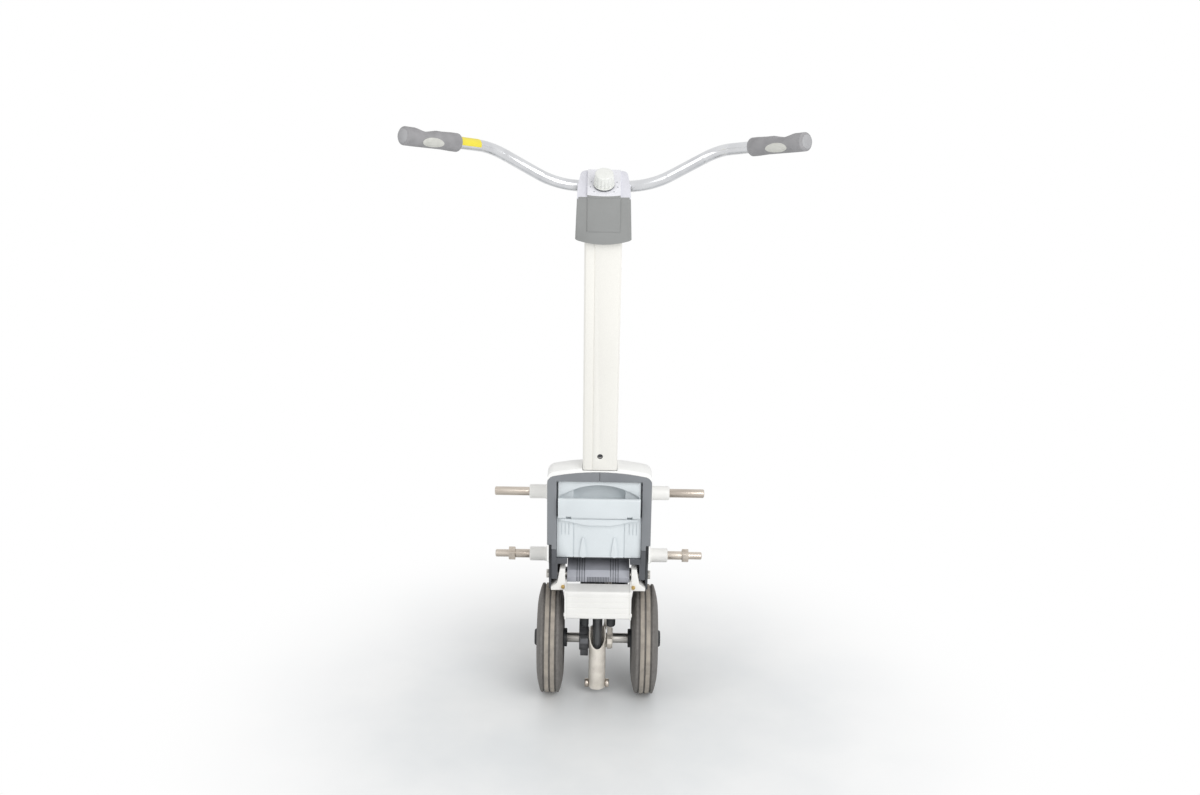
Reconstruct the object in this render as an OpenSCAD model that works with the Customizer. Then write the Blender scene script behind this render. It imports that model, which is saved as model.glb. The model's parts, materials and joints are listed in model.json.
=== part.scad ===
// Power assist for a wheelchair: a housing with a pull-out battery hangs on four rods, two driven
// wheels swing below it, and a mast behind it carries the control head and the handlebar.
// Sizes are in millimetres. X is to the right seen from behind, Y is forward and Z is up. Pieces
// are drawn with the floor at z = 0 and the axle at y = 0, then moved so that the origin is the
// middle of the lower rod axis.

/* [Drive wheels] */
// Diameter of the tyres
wheel_d = 200; // [190:1:205]
// Width of the tyres
wheel_w = 48; // [44:1:52]
// Space between the controller box and a tyre
wheel_space = 2.5; // [2:0.5:6]
// Width of the flat tread
tread_w = 31; // [26:1:34]
// Height of a tyre over its rim
tyre_h = 38; // [34:1:42]
// Diameter of the axle
axle_d = 18; // [16:0.5:20]

/* [Swing arm] */
// Height that the pedal lifts the wheels
lift = 15; // [10:1:16]
// Distance of the arm's pivot in front of the axle
pivot_y = 135; // [130:1:140]
// Diameter of the pivot shaft
pivot_d = 16; // [12:1:18]
// Diameter of the motor
motor_d = 62; // [54:1:64]
// Radius of both belt pulleys
pulley_r = 16; // [14:0.5:17]
// Outer diameter of the spring tube
tube_d = 31; // [29:0.5:31]
// Bore of the spring tube
tube_bore = 27; // [25:0.5:27.5]

/* [Housing] */
// Space from the battery to the outer face of a side panel
side_space = 17; // [16:0.5:24]
// Distance of the housing's rear face behind the axle
housing_back = 45; // [44:1:50]
// Distance of the housing's front face before the axle
housing_front = 165; // [163:1:180]
// Slope of the roof in degrees
roof_slope = 22; // [20:0.5:22.5]
// Thickness of the white panels
panel_t = 3; // [2.5:0.5:3.5]
// Thickness of the steel side plates
plate_t = 4; // [3:0.5:5]
// Thickness of the bezel
bezel_t = 6; // [5:0.5:6]

/* [Battery] */
// Width of one battery block
block_w = 65; // [60:1:72]
// Length of one battery block
block_len = 151; // [145:1:155]
// Height of one battery block
block_h = 94; // [85:1:96]
// Height of the battery pack at its rear
battery_h = 147; // [144:1:155]
// Wall of the battery case
case_wall = 3; // [2:0.5:4]
// Free space beside the blocks in the case
block_space = 7; // [5:0.5:9]

/* [Mounting rods] */
// Diameter of the rods
rod_d = 16; // [12:1:18]
// Height between the lower and upper rods
rod_spacing = 126; // [115:1:135]
// Distance of the rods in front of the axle
rod_y = 80; // [75:1:90]
// Distance of the rod ends from the middle
rod_reach = 193; // [175:1:220]
// Outer diameter of the rod sleeves
sleeve_d = 26; // [24:1:30]

/* [Mast] */
// Width of the mast
mast_w = 60; // [56:1:64]
// Depth of the mast
mast_d = 34; // [32:1:38]
// Wall of the mast
mast_wall = 3; // [2:0.5:3.5]
// Lean of the mast to the rear in degrees
mast_lean = 12; // [8:0.5:14]
// Length of the mast along its axis
mast_len = 498; // [480:1:520]

/* [Control head and handlebar] */
// Width of the head at its foot
head_w = 90; // [86:1:98]
// Diameter of the speed knob at its foot
knob_d = 33; // [28:1:36]
// Height of the speed knob
knob_h = 24; // [18:1:26]
// Diameter of the handlebar
bar_d = 18; // [16:0.5:20]
// Length of a grip
grip_len = 110; // [100:1:125]

/* [Hidden] */
$fn = 64;

// Clearances
fit = 0.05;
gap = 0.3;
slide_gap = 0.15;
overrun = 2;
// Depth by which joined forms run into each other
lap = 1;
arc_steps = 12;

// Heights that follow from the wheels and the lift
axle = [0, wheel_d / 2];
rim_d = wheel_d - 2 * tyre_h;
tyre_clear = 4;
frame_low = wheel_d + lift + tyre_clear;
cross_d = 10;
cross_y = -21;
cross_rise = 21;
cross_at = [cross_y, frame_low + cross_rise];
pivot_drop = 54;
pivot = [pivot_y, frame_low - pivot_drop];
low_rod_rise = 13;
low_rod_z = frame_low + low_rod_rise;
up_rod_z = low_rod_z + rod_spacing;
battery_rise = 62;
battery_low = frame_low + battery_rise;
battery_top = battery_low + battery_h;
bezel_rise = 19;
bezel_top = battery_top + bezel_rise;
lip_h = 8;
cover_top = bezel_top + lip_h;

// Widths and depths of the housing
battery_w = 2 * (block_w + case_wall + block_space);
battery_half = battery_w / 2;
half_w = battery_half + side_space;
housing_w = 2 * half_w;
bezel_y = -housing_back;
bezel_front = bezel_y + bezel_t;
plate_out = half_w - panel_t - gap;
plate_in = plate_out - plate_t;
plate_rear = bezel_front + gap;
plate_front = housing_front - panel_t - gap;
bracket_w = 25.2;
bracket_in = plate_in - bracket_w;
end_plate_t = 3;
box_half = bracket_in - end_plate_t;
wheel_in = bracket_in + wheel_space;
wheel_track = 2 * wheel_in + wheel_w;
crown_y = 0;
roof_arc_r = 404;
roof_corner_r = 15;
seam_drop = 24;
front_corner_r = 18;
panel_lift = 2;
panel_low = frame_low + panel_lift;
panel_rear_lift = 55;
panel_rear_low = frame_low + panel_rear_lift;
panel_step_y = 0;
panel_step_end = 45;

// Battery
battery_gap = 0.5;
battery_set = 7;
battery_rear = bezel_y + battery_set;
front_t = 30;
case_rear = battery_rear + front_t;
case_front = case_rear + block_len + 2 * case_wall + gap;
case_front_drop = 47;

// Mast
mast_sink = 3;
mast_foot_z = cover_top - mast_sink;
mast_back = 2;
mast_y = bezel_y - mast_back + mast_d / 2 / cos(mast_lean);
mast_bevel = 3;
post_w = 44;
post_d = 18;
post_wall = 2.5;
post_len = 196;
lock_s = 32;
lock_d = 6;

// Bar axis and head, along and across the mast
bar_over = 22;
bar_s = mast_len + bar_over;
bar_v = 17.6;
head_lap = 50;
head_low = mast_len - head_lap;
head_rear = 29;
head_front = 33;
head_over = 23;
head_top = mast_len + head_over;
head_slope = 17;
head_wall = 3;

// Rotates a point of the Y and Z plane by an angle, then moves it
function turned(p, a) = [p[0] * cos(a) - p[1] * sin(a), p[0] * sin(a) + p[1] * cos(a)];
function unit(v) = v / norm(v);
function arc(c, r, a0, a1) =
    [for (i = [0:arc_steps])
        let (a = a0 + (a1 - a0) * i / arc_steps)
        c + r * [cos(a), sin(a)]];

// Outline round two circles, with straight tangents between them
function stadium(c1, r1, c2, r2) =
    let (v = c2 - c1, a = atan2(v[1], v[0]), b = acos((r1 - r2) / norm(v)))
    concat(arc(c2, r2, a - b, a + b), arc(c1, r1, a + b, a + 360 - b));

// Outline with an arched top and round upper corners, down to a given height
function crown(half, top, arc_r, corner_r, low) =
    let (
        oz = top - arc_r,
        cx = half - corner_r,
        cz = oz + sqrt((arc_r - corner_r) * (arc_r - corner_r) - cx * cx),
        a = atan2(cz - oz, cx)
    )
    concat(
        [[half, low]], arc([cx, cz], corner_r, 0, a), arc([0, oz], arc_r, a, 180 - a),
        arc([-cx, cz], corner_r, 180 - a, 180), [[-half, low]]
    );

// Rectangle with cut corners
function cut_corners(w, d, c) =
    let (x = w / 2, y = d / 2)
    [[x, c - y], [x, y - c], [x - c, y], [c - x, y], [-x, y - c], [-x, c - y], [c - x, -y], [x - c, -y]];

// Rectangle with round corners, from its lowest corner and its size
module soft_rect(low, size, r) {
    x = low[0] + size[0];
    y = low[1] + size[1];
    polygon(concat(
        arc([x - r, y - r], r, 0, 90), arc([low[0] + r, y - r], r, 90, 180),
        arc([low[0] + r, low[1] + r], r, 180, 270), arc([x - r, low[1] + r], r, 270, 360)
    ));
}

// Moves a piece from the floor's frame to the frame of the lower rods
module placed() { translate([0, -rod_y, -low_rod_z]) children(); }

// Extrudes an outline of Y and Z along X
module along_x(x0, x1) { translate([x0, 0, 0]) rotate([90, 0, 90]) linear_extrude(x1 - x0) children(); }

// Extrudes an outline of X and Z along Y
module along_y(y0, y1) { translate([0, y1, 0]) rotate([90, 0, 0]) linear_extrude(y1 - y0) children(); }

// Round bar along X
module x_bar(x0, x1, at, d) { translate([x0, at[0], at[1]]) rotate([0, 90, 0]) cylinder(h = x1 - x0, d = d); }

// Revolves an outline of X and radius about an axis along X
module x_turned(at) {
    translate([0, at[0], at[1]]) rotate([0, 90, 0]) rotate_extrude() mirror([1, -1]) children();
}

// Box from its lowest to its highest corner
module block(low, high) { translate(low) cube(high - low); }

module both_sides() {
    children();
    mirror([1, 0, 0]) children();
}

// Frame of the mast: its axis is Z, from the middle of its foot
module on_mast() { translate([0, mast_y, mast_foot_z]) rotate([mast_lean, 0, 0]) children(); }

// Steel side plates, each with a web across the rear of the frame
hanger_r = 17;
hanger_root = 105;
sleeve_boss_w = 7;
sleeve_boss_r = sleeve_d / 2 + sleeve_boss_w;
web_t = 4;
plate_top_drop = 26;

module side_plates() {
    front_top = cover_top - plate_top_drop - (plate_front - crown_y) * tan(roof_slope);
    color("#5d6164") placed() both_sides() difference() {
        union() {
            along_x(plate_in, plate_out) {
                polygon([
                    [plate_rear, frame_low], [hanger_root, frame_low], [pivot[0] - hanger_r, pivot[1]],
                    [pivot[0] + hanger_r, pivot[1]], [plate_front, frame_low], [plate_front, front_top],
                    [crown_y, cover_top - plate_top_drop], [plate_rear, cover_top - plate_top_drop]
                ]);
                translate(pivot) circle(hanger_r);
                translate([rod_y, low_rod_z]) circle(sleeve_boss_r);
            }
            block(
                [bracket_in, ear_front + gap, bracket_low],
                [plate_in + lap, ear_front + gap + web_t, sill_low - web_t]
            );
        }
        x_bar(0, half_w, cross_at, cross_d + 2 * fit);
        x_bar(0, half_w, pivot, pivot_d + 2 * fit);
        for (z = [low_rod_z, up_rod_z]) x_bar(0, half_w, [rod_y, z], sleeve_d + 2 * fit);
    }
}

// Post of the mast on its foot plate
foot_clear = 3;
foot_low = battery_top + foot_clear;
foot_t = 5;
foot_front = 6;
foot_flange_h = 22;

module mast_post() {
    hollow_w = post_w - 2 * post_wall;
    hollow_d = post_d - 2 * post_wall;
    root = 2 * foot_flange_h;
    color("#b9bcbd") placed() difference() {
        union() {
            block([-plate_in, plate_rear, foot_low], [plate_in, foot_front, foot_low + foot_t]);
            both_sides() block(
                [plate_in - foot_t, plate_rear, foot_low - foot_flange_h],
                [plate_in, foot_front, foot_low + foot_t]
            );
            on_mast() translate([-post_w / 2, -post_d / 2, -root]) cube([post_w, post_d, root + post_len]);
        }
        block(
            [-post_w, 2 * bezel_y, foot_low - 2 * root], [post_w, foot_front + overrun, foot_low]
        );
        on_mast() translate([-hollow_w / 2, -hollow_d / 2, -root])
            cube([hollow_w, hollow_d, root + post_len + overrun]);
    }
}

// Plastic guides between the post and the mast
guide_h = 24;
mast_inner_w = mast_w - 2 * mast_wall;
mast_inner_d = mast_d - 2 * mast_wall;
inner_bevel = mast_bevel / 2;

module guide_ring(outer_gap, inner_gap) {
    linear_extrude(guide_h) difference() {
        polygon(cut_corners(mast_inner_w - 2 * outer_gap, mast_inner_d - 2 * outer_gap, inner_bevel));
        square([post_w + 2 * inner_gap, post_d + 2 * inner_gap], center = true);
    }
}

module post_guide() {
    color("#2f3133") placed() on_mast() translate([0, 0, post_len - guide_h]) guide_ring(slide_gap, 0);
}

mast_guide_s = lock_s - lock_d - guide_h + mast_bevel / 2;

module mast_guide() {
    color("#2f3133") placed() on_mast() translate([0, 0, mast_guide_s]) guide_ring(0, slide_gap);
}

// Roof: an arched tunnel, lowered by a second one that slopes to the front
module roof_arch(inset, depth) {
    polygon(crown(
        half_w - inset, cover_top - inset, roof_arc_r - inset, roof_corner_r - inset, cover_top - depth
    ));
}

module roof(inset, y0, y1) {
    reach = 2 * housing_front;
    intersection() {
        along_y(y0, y1) roof_arch(inset, housing_w);
        translate([0, crown_y, cover_top]) rotate([-roof_slope, 0, 0]) translate([0, 0, -cover_top])
            along_y(-reach, reach) roof_arch(inset, 2 * housing_w);
    }
}

// Side view of what lies above the seam between cover and panels
module above_seam(clear, y1) {
    seam = cover_top - seam_drop + clear;
    fall = (y1 - crown_y) * tan(roof_slope);
    along_x(-half_w - overrun, half_w + overrun) polygon([
        [bezel_y - overrun, seam], [crown_y, seam], [y1, seam - fall], [y1, cover_top + overrun],
        [bezel_y - overrun, cover_top + overrun]
    ]);
}

module top_cover() {
    notch_w = mast_w + 4 * gap;
    notch_front = mast_y + mast_d / 2 / cos(mast_lean) + overrun;
    color("#f4f4ef") placed() difference() {
        intersection() {
            roof(0, bezel_y, housing_front);
            above_seam(0, housing_front);
        }
        roof(panel_t, bezel_front, housing_front - panel_t);
        along_y(bezel_y - overrun, bezel_front + gap)
            polygon(crown(half_w + gap, bezel_top + gap, roof_arc_r - lip_h, roof_corner_r, battery_low));
        block(
            [-notch_w / 2, bezel_y - overrun, mast_foot_z - overrun],
            [notch_w / 2, notch_front, cover_top + overrun]
        );
    }
}

// Bezel halves round the battery opening
bezel_wide_h = 26;
bezel_wide_low = battery_low + bezel_wide_h;
bezel_foot_h = 17;
bezel_low = battery_low + bezel_foot_h;
bezel_step = 8;
bezel_leg_out = half_w - bezel_step;
bezel_corner_r = 14;
bezel_seam = 0.5;
return_t = 2;
return_end = 8;

module bezel_half() {
    opening = battery_half + battery_gap;
    along_y(bezel_y, bezel_front) difference() {
        polygon(crown(half_w, bezel_top, roof_arc_r - lip_h, bezel_corner_r, bezel_low));
        translate([-opening, 0]) square([2 * opening, battery_top + battery_gap]);
        translate([-housing_w, 0]) square([housing_w + bezel_seam / 2, 2 * bezel_top]);
        translate([bezel_leg_out, 0]) square([housing_w, bezel_wide_low]);
    }
    block([opening, bezel_front, bezel_low], [opening + return_t, return_end, battery_top - bezel_t]);
}

module right_bezel() { color("#868a8d") placed() bezel_half(); }

module left_bezel() { color("#868a8d") placed() mirror([1, 0, 0]) bezel_half(); }

// White side panels, cut up behind the wheels, with a rib that closes the rear below the bezel
module side_panels() {
    seam = cover_top - seam_drop - gap;
    front_seam = seam - (housing_front - crown_y) * tan(roof_slope);
    color("#f4f4ef") placed() both_sides() difference() {
        along_x(half_w - panel_t, half_w) polygon(concat(
            [
                [bezel_front + gap, seam], [bezel_front + gap, bezel_wide_low - gap],
                [bezel_y, bezel_wide_low - gap], [bezel_y, panel_rear_low], [panel_step_y, panel_rear_low], [panel_step_end, panel_low]
            ],
            arc([housing_front - front_corner_r, panel_low + front_corner_r], front_corner_r, 270, 360),
            [[housing_front, front_seam], [crown_y, seam]]
        ));
        for (z = [low_rod_z, up_rod_z]) x_bar(0, 2 * half_w, [rod_y, z], sleeve_d + 2 * gap);
    }
}

module front_panel() {
    seam = cover_top - seam_drop - gap - (housing_front - crown_y) * tan(roof_slope);
    x = half_w - panel_t - gap / 2;
    y = housing_front - panel_t;
    color("#f4f4ef") placed() along_y(y, housing_front)
        translate([-x, panel_low + front_corner_r]) square([2 * x, seam - panel_low - front_corner_r]);
}

// Sill under the rear of the battery: feet that carry the bezel legs, with a leg below each
sill_ledge = 56;
sill_drop = 11;
sill_low = battery_low - sill_drop;
sill_back = 28;
sill_set = 1;
sill_leg_in = 11;
sill_leg_h = 30;
sill_leg_t = 4;

module battery_sill() {
    foot_in = battery_half + battery_gap;
    foot_out = bezel_leg_out;
    rear = bezel_y + sill_set;
    color("#777b7e") placed() both_sides() union() {
        block([foot_in, bezel_y, sill_low], [foot_out, -sill_back, bezel_low - gap]);
        block([sill_ledge, rear, sill_low], [foot_in + return_t, -sill_back, battery_low - battery_gap]);
        block(
            [foot_out - sill_leg_in, rear, sill_low - sill_leg_h], [foot_out, rear + sill_leg_t, sill_low + lap]
        );
    }
}

// Battery tray: a floor with raised edges and two runners
tray_t = 3;
tray_edge_h = 24;
tray_drop = 7;
runner_w = 12;
runner_x = 48;

module battery_tray() {
    low = battery_low - tray_drop;
    rear = -sill_back + gap;
    front = case_front - tray_t;
    top = battery_low - gap;
    color("#5d6164") placed() {
        union() {
            block([-plate_in, rear, low], [plate_in, front, low + tray_t]);
            both_sides() block([plate_in - tray_t, rear, low], [plate_in, front, low + tray_edge_h]);
            both_sides() block([runner_x, rear, low], [runner_x + runner_w, front, top]);
        }
    }
}

// Socket on the front panel and the contacts of the battery
socket_w = 70;
socket_rise = 16;
socket_low = battery_low + socket_rise;
socket_h = 34;
contact_w = 8;
contact_t = 2;
contact_len = 7;
contact_x = 18;

module battery_socket() {
    low = socket_low;
    rear = case_front + gap;
    color("#2f3133") placed() difference() {
        block([-socket_w / 2, rear, low], [socket_w / 2, housing_front - panel_t, low + socket_h]);
        both_sides() translate([contact_x, rear - overrun, low + socket_h / 2])
            translate([-contact_t / 2 - gap, 0, -contact_w / 2 - gap])
                cube([contact_t + 2 * gap, contact_len + overrun + gap, contact_w + 2 * gap]);
    }
}

module battery_contacts() {
    color("#c9a45a") placed() both_sides()
        translate([contact_x - contact_t / 2, case_front, socket_low + socket_h / 2 - contact_w / 2])
            cube([contact_t, contact_len, contact_w]);
}

// Sleeves and rods that carry the part
sleeve_len = 37;
sleeve_end = half_w + sleeve_len;
sleeve_flare_w = 7;
sleeve_flare_r = 3;
sleeve_over = 4;
sleeve_in = plate_in - sleeve_over;
rod_chamfer = 1.5;
rod_step = 1;
shank_d = rod_d - rod_step;
stud_d = rod_d - 2 * rod_step;
collar_x = 156;
collar_w = 12;
collar_d = 27;

module rod_sleeves() {
    r = sleeve_d / 2;
    bore = shank_d / 2 + fit;
    color("#efefeb") placed() both_sides() for (z = [low_rod_z, up_rod_z]) x_turned([rod_y, z])
        polygon([
            [sleeve_in, bore], [sleeve_in, r], [half_w + gap, r], [half_w + gap, r + sleeve_flare_r],
            [half_w + gap + sleeve_flare_w / 3, r + sleeve_flare_r], [half_w + gap + sleeve_flare_w, r],
            [sleeve_end - rod_chamfer, r], [sleeve_end, r - rod_chamfer], [sleeve_end, bore]
        ]);
}

// One rod: a shank in the sleeve, then the free rod, stepped down to a stud behind a collar
module rod(z, end_d) {
    r = rod_d / 2;
    neck = collar_x + collar_w;
    step = end_d < rod_d ? [[neck, r], [neck, end_d / 2]] : [];
    x_turned([rod_y, z]) polygon(concat(
        [[sleeve_in, 0], [sleeve_in, shank_d / 2], [sleeve_end, shank_d / 2], [sleeve_end, r]], step,
        [[rod_reach - rod_chamfer, end_d / 2], [rod_reach, end_d / 2 - rod_chamfer], [rod_reach, 0]]
    ));
}

module mount_rods() {
    color("#cfc6bb") placed() both_sides() {
        rod(low_rod_z, stud_d);
        rod(up_rod_z, rod_d);
    }
}

module rod_collars() {
    color("#c3c4c2") placed() both_sides() difference() {
        translate([collar_x, rod_y, low_rod_z]) rotate([0, 90, 0])
            cylinder(h = collar_w, d = collar_d, $fn = 6);
        x_bar(collar_x - overrun, collar_x + collar_w + overrun, [rod_y, low_rod_z], rod_d + 2 * fit);
    }
}

// Shafts across the frame
pivot_head_d = 26;
pivot_head_t = 4;
bolt_d = 17;
bolt_t = 5;

module cross_shaft() {
    color("#b9bcbd") placed() union() {
        x_bar(-plate_out - lap, plate_out + lap, cross_at, cross_d);
        both_sides() translate([plate_out + fit, cross_at[0], cross_at[1]]) rotate([0, 90, 0])
            cylinder(h = bolt_t, d = bolt_d, $fn = 6);
    }
}

module pivot_shaft() {
    color("#b9bcbd") placed() union() {
        x_bar(-plate_out - fit, plate_out + fit, pivot, pivot_d);
        both_sides() x_bar(plate_out + fit, plate_out + pivot_head_t, pivot, pivot_head_d);
    }
}

// Controller box between the wheels
box_rear = -75;
box_front = -38;
box_drop = 43;
box_rise = 11;
box_low = frame_low - box_drop;
box_top = frame_low + box_rise;
box_wall = 4;
box_corner_r = 4;
fin_count = 4;
fin_w = 1.2;
fin_depth = 0.6;

module controller_box() {
    size = [box_front - box_rear, box_top - box_low];
    pitch = size[1] / (fin_count + 1);
    color("#f7f7f3") placed() along_x(-box_half, box_half) difference() {
        soft_rect([box_rear, box_low], size, box_corner_r);
        soft_rect([box_rear + box_wall, box_low + box_wall], size - 2 * [box_wall, box_wall], box_corner_r / 2);
        for (i = [1:fin_count])
            translate([box_rear - fin_w, box_low + i * pitch]) square([fin_w + fin_depth, fin_w]);
    }
}

ear_front = -14;
ear_h = 17;
plate_over = 1.5;

module controller_end_plates() {
    color("#efefeb") placed() both_sides() union() {
        along_x(box_half, box_half + end_plate_t) {
            soft_rect(
                [box_rear - plate_over, box_low - plate_over],
                [box_front - box_rear + 2 * plate_over, box_top - box_low + 2 * plate_over], box_corner_r
            );
            translate([box_front - box_corner_r, cross_at[1] - cross_d / 2 - gap - ear_h])
                square([ear_front - box_front + box_corner_r, ear_h]);
        }
        for (z = [box_low + screw_in, box_top - screw_in])
            x_bar(box_half + lap, bracket_in + cap_screw_t, [box_rear + screw_in, z], screw_d);
    }
}

// Cast brackets that hang the controller box and brace the side plates
bracket_rear = -46;
bracket_low = frame_low + gap;
bracket_h = 42;
bracket_step = 5;
bracket_top_w = 9;
bracket_mid_share = 0.33;

module side_brackets() {
    mid = bracket_low + bracket_h * bracket_mid_share;
    color("#f2f2ee") placed() both_sides() difference() {
        along_y(bracket_rear, ear_front) polygon([
            [bracket_in, bracket_low], [plate_in, bracket_low], [plate_in, bracket_low + bracket_step],
            [bracket_in + bracket_top_w + bracket_step, mid],
            [bracket_in + bracket_top_w, bracket_low + bracket_h], [bracket_in, bracket_low + bracket_h]
        ]);
        x_bar(0, half_w, cross_at, cross_d + 2 * fit);
    }
}

bump_x = 24;
bump_y = -48;
bump_d = 16;
bump_len = 26;

module bump_stops() {
    r = bump_d / 2;
    color("#2b2c2d") placed() for (x = [-bump_x, bump_x]) translate([x, bump_y, box_low - bump_len])
        rotate_extrude()
            polygon(concat([[0, 0]], arc([r / 2, r / 2], r / 2, 270, 360), [[r, bump_len], [0, bump_len]]));
}

// Bolts that hold the brackets
screw_d = 7;
screw_t = 3;
cap_screw_t = 1.5;
screw_in = 6;

module frame_screws() {
    color("#c9b48e") placed() both_sides()
        translate([bracket_in + screw_d / 2, bracket_rear, bracket_low + screw_d]) rotate([90, 0, 0])
            cylinder(h = screw_t, d = screw_d);
}

// Mast: an extrusion with bevelled sides and shallow grooves on its rear face
groove_shares = [-0.22];
mast_groove_w = 1.2;
mast_groove_depth = 0.8;

module mast_tube() {
    start = mast_d / 2;
    color("#eeede6") placed() difference() {
        on_mast() translate([0, 0, -start]) linear_extrude(mast_len + start) difference() {
            polygon(cut_corners(mast_w, mast_d, mast_bevel));
            polygon(cut_corners(mast_inner_w, mast_inner_d, inner_bevel));
            for (share = groove_shares)
                translate([share * mast_w - mast_groove_w / 2, -mast_d / 2 - mast_groove_depth])
                    square([mast_groove_w, 2 * mast_groove_depth]);
        }
        block([-mast_w, bezel_y - mast_d, mast_foot_z - 2 * start], [mast_w, mast_d, mast_foot_z]);
        on_mast() translate([0, 0, lock_s]) rotate([90, 0, 0]) cylinder(h = mast_d, d = lock_d + 2 * fit);
    }
}

// Clamp of the handlebar, seated in the top of the mast
clamp_w = 50;
clamp_reach = 12;
clamp_grip = 5;
clamp_over = 4;
clamp_plug = 40;

module bar_clamp() {
    color("#8c9093") placed() on_mast() difference() {
        union() {
            translate([0, 0, mast_len - clamp_plug]) linear_extrude(clamp_plug + clamp_over)
                polygon(cut_corners(mast_inner_w - 2 * fit, mast_inner_d - 2 * fit, inner_bevel));
            block(
                [-clamp_w / 2, bar_v - clamp_reach, mast_len],
                [clamp_w / 2, bar_v + clamp_reach, bar_s + clamp_grip]
            );
        }
        x_bar(-head_w, head_w, [bar_v, bar_s], bar_d + 2 * fit);
    }
}

// Lock screw near the foot of the mast, against the post
module lock_screw() {
    depth = mast_d / 2 - post_d / 2 - gap - mast_wall / 2;
    color("#3a3c3e") placed() on_mast() translate([0, -post_d / 2 - gap, lock_s]) rotate([90, 0, 0])
        cylinder(h = depth, d = lock_d);
}

// Head shell: tapered sides, a roof that rises to the front and a bowed lower edge
head_taper_share = 0.915;
head_front_share = 0.83;
head_bow = 8;
head_chin = 14;
head_rear_r = 5;
head_front_r = 9;
bar_hole_gap = 1.5;

module head_side(inset, low) {
    rear = -head_rear + inset;
    front = head_front - inset;
    top = head_top - inset;
    polygon([
        [rear, low], [front, low + head_chin], [front, top + (front + head_rear) * tan(head_slope)],
        [rear, top + inset * tan(head_slope)]
    ]);
}

module head_back(inset, low) {
    top = head_top + (head_front + head_rear) * tan(head_slope);
    w = head_w / 2 - inset;
    bow_r = (w * w + head_bow * head_bow) / (2 * head_bow);
    intersection() {
        polygon([
            [-w, low - head_bow], [w, low - head_bow], [w * head_taper_share, top], [-w * head_taper_share, top]
        ]);
        translate([0, low - head_bow + bow_r]) circle(bow_r, $fn = 120);
    }
}

module head_plan(inset) {
    rear_w = head_w / 2 - inset;
    front_w = head_w / 2 * head_front_share - inset;
    rear = -head_rear + inset;
    front = head_front - inset;
    rear_r = head_rear_r - inset;
    front_r = head_front_r - inset;
    polygon(concat(
        arc([front_w - front_r, front - front_r], front_r, 0, 90),
        arc([front_r - front_w, front - front_r], front_r, 90, 180),
        arc([rear_r - rear_w, rear + rear_r], rear_r, 180, 270),
        arc([rear_w - rear_r, rear + rear_r], rear_r, 270, 360)
    ));
}

module head_solid(inset, low) {
    height = head_top + head_w;
    intersection() {
        along_x(-head_w, head_w) head_side(inset, low - head_bow);
        along_y(-head_w, head_w) head_back(inset, low);
        linear_extrude(height) head_plan(inset);
    }
}

// Spine of the rear cover and cap of the roof
spine_half = 26;
spine_t = 4;
cap_lip = 0.2;
roof_t = head_wall + cap_lip;

module head_roof() {
    intersection() {
        head_solid(0, head_low);
        on_head_roof() block([-head_w, -head_w, -roof_t], [head_w, head_w, head_w]);
    }
}

module head_shell() {
    color("#a3a4a6") placed() on_mast() difference() {
        head_solid(0, head_low);
        head_solid(head_wall, head_low - 4 * head_wall);
        x_bar(-head_w, head_w, [bar_v, bar_s], bar_d + 2 * bar_hole_gap);
        on_head_roof() block([-head_w, -head_w, -roof_t], [head_w, head_w, head_w]);
    }
}

// Frame of the head's roof: origin where the knob stands, Z square to the roof
knob_v = -6.5;
stem_d = 6;
stem_len = 15;

module on_head_roof() {
    translate([0, knob_v, head_top + (knob_v + head_rear) * tan(head_slope)]) rotate([head_slope, 0, 0])
        children();
}

cover_foot = 22;
cover_bulge_r = 130;

// Column whose rear side is bowed, for the rear cover and the plate above it
module bowed_rear() {
    translate([0, cover_bulge_r - head_rear - spine_t, head_low - head_w])
        cylinder(h = 3 * head_w, r = cover_bulge_r, $fn = 180);
}

// Rear cover: bowed outwards, with a chamfered foot
module head_cover() {
    foot = head_low - head_bow + cover_foot;
    color("#96989a") placed() on_mast() intersection() {
        bowed_rear();
        along_x(-spine_half, spine_half) polygon([
            [-head_rear, foot], [-head_rear - spine_t / 4, foot], [-head_rear - spine_t, foot + 3 * spine_t],
            [-head_rear - spine_t, head_top - spine_t * tan(head_slope) - gap], [-head_rear, head_top - gap]
        ]);
    }
}

// Pale control plate: the cap of the roof with a raised middle under the knob
plate_rise = 4;
plate_far = 39;

module control_plate() {
    near = -(head_rear + knob_v) / cos(head_slope);
    color("#dcdde2") placed() on_mast() difference() {
        union() {
            head_roof();
            on_head_roof() block([-spine_half, near + plate_rise, -lap], [spine_half, plate_far, plate_rise]);
            intersection() {
                bowed_rear();
                on_head_roof() block(
                    [-spine_half, near - 2 * spine_t, 0], [spine_half, near + 2 * plate_rise, plate_rise]
                );
            }
        }
        on_head_roof() translate([0, 0, -2 * roof_t])
            cylinder(h = 2 * roof_t + 2 * plate_rise, d = stem_d + 2 * fit);
    }
}

// Board under the roof with the turning sensor that the knob drives
board_half = 22;
board_t = 1.6;
sensor_d = 13;
sensor_h = 6;

module control_board() {
    color("#3d6b4a") placed() on_mast() on_head_roof() difference() {
        union() {
            translate([0, 0, -roof_t - sensor_h]) cylinder(h = sensor_h, d = sensor_d);
            block(
                [-board_half, -sensor_d, -roof_t - sensor_h - board_t],
                [board_half, sensor_d / 2, -roof_t - sensor_h]
            );
        }
        translate([0, 0, -roof_t - sensor_h - board_t - overrun])
            cylinder(h = roof_t + 2 * sensor_h + board_t, d = stem_d + 2 * fit);
    }
}

// Speed knob with ribs round its side
knob_top_share = 0.86;
knob_ring_h = 3;
knob_edge = 1;
rib_count = 16;
rib_d = 4.4;

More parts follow.
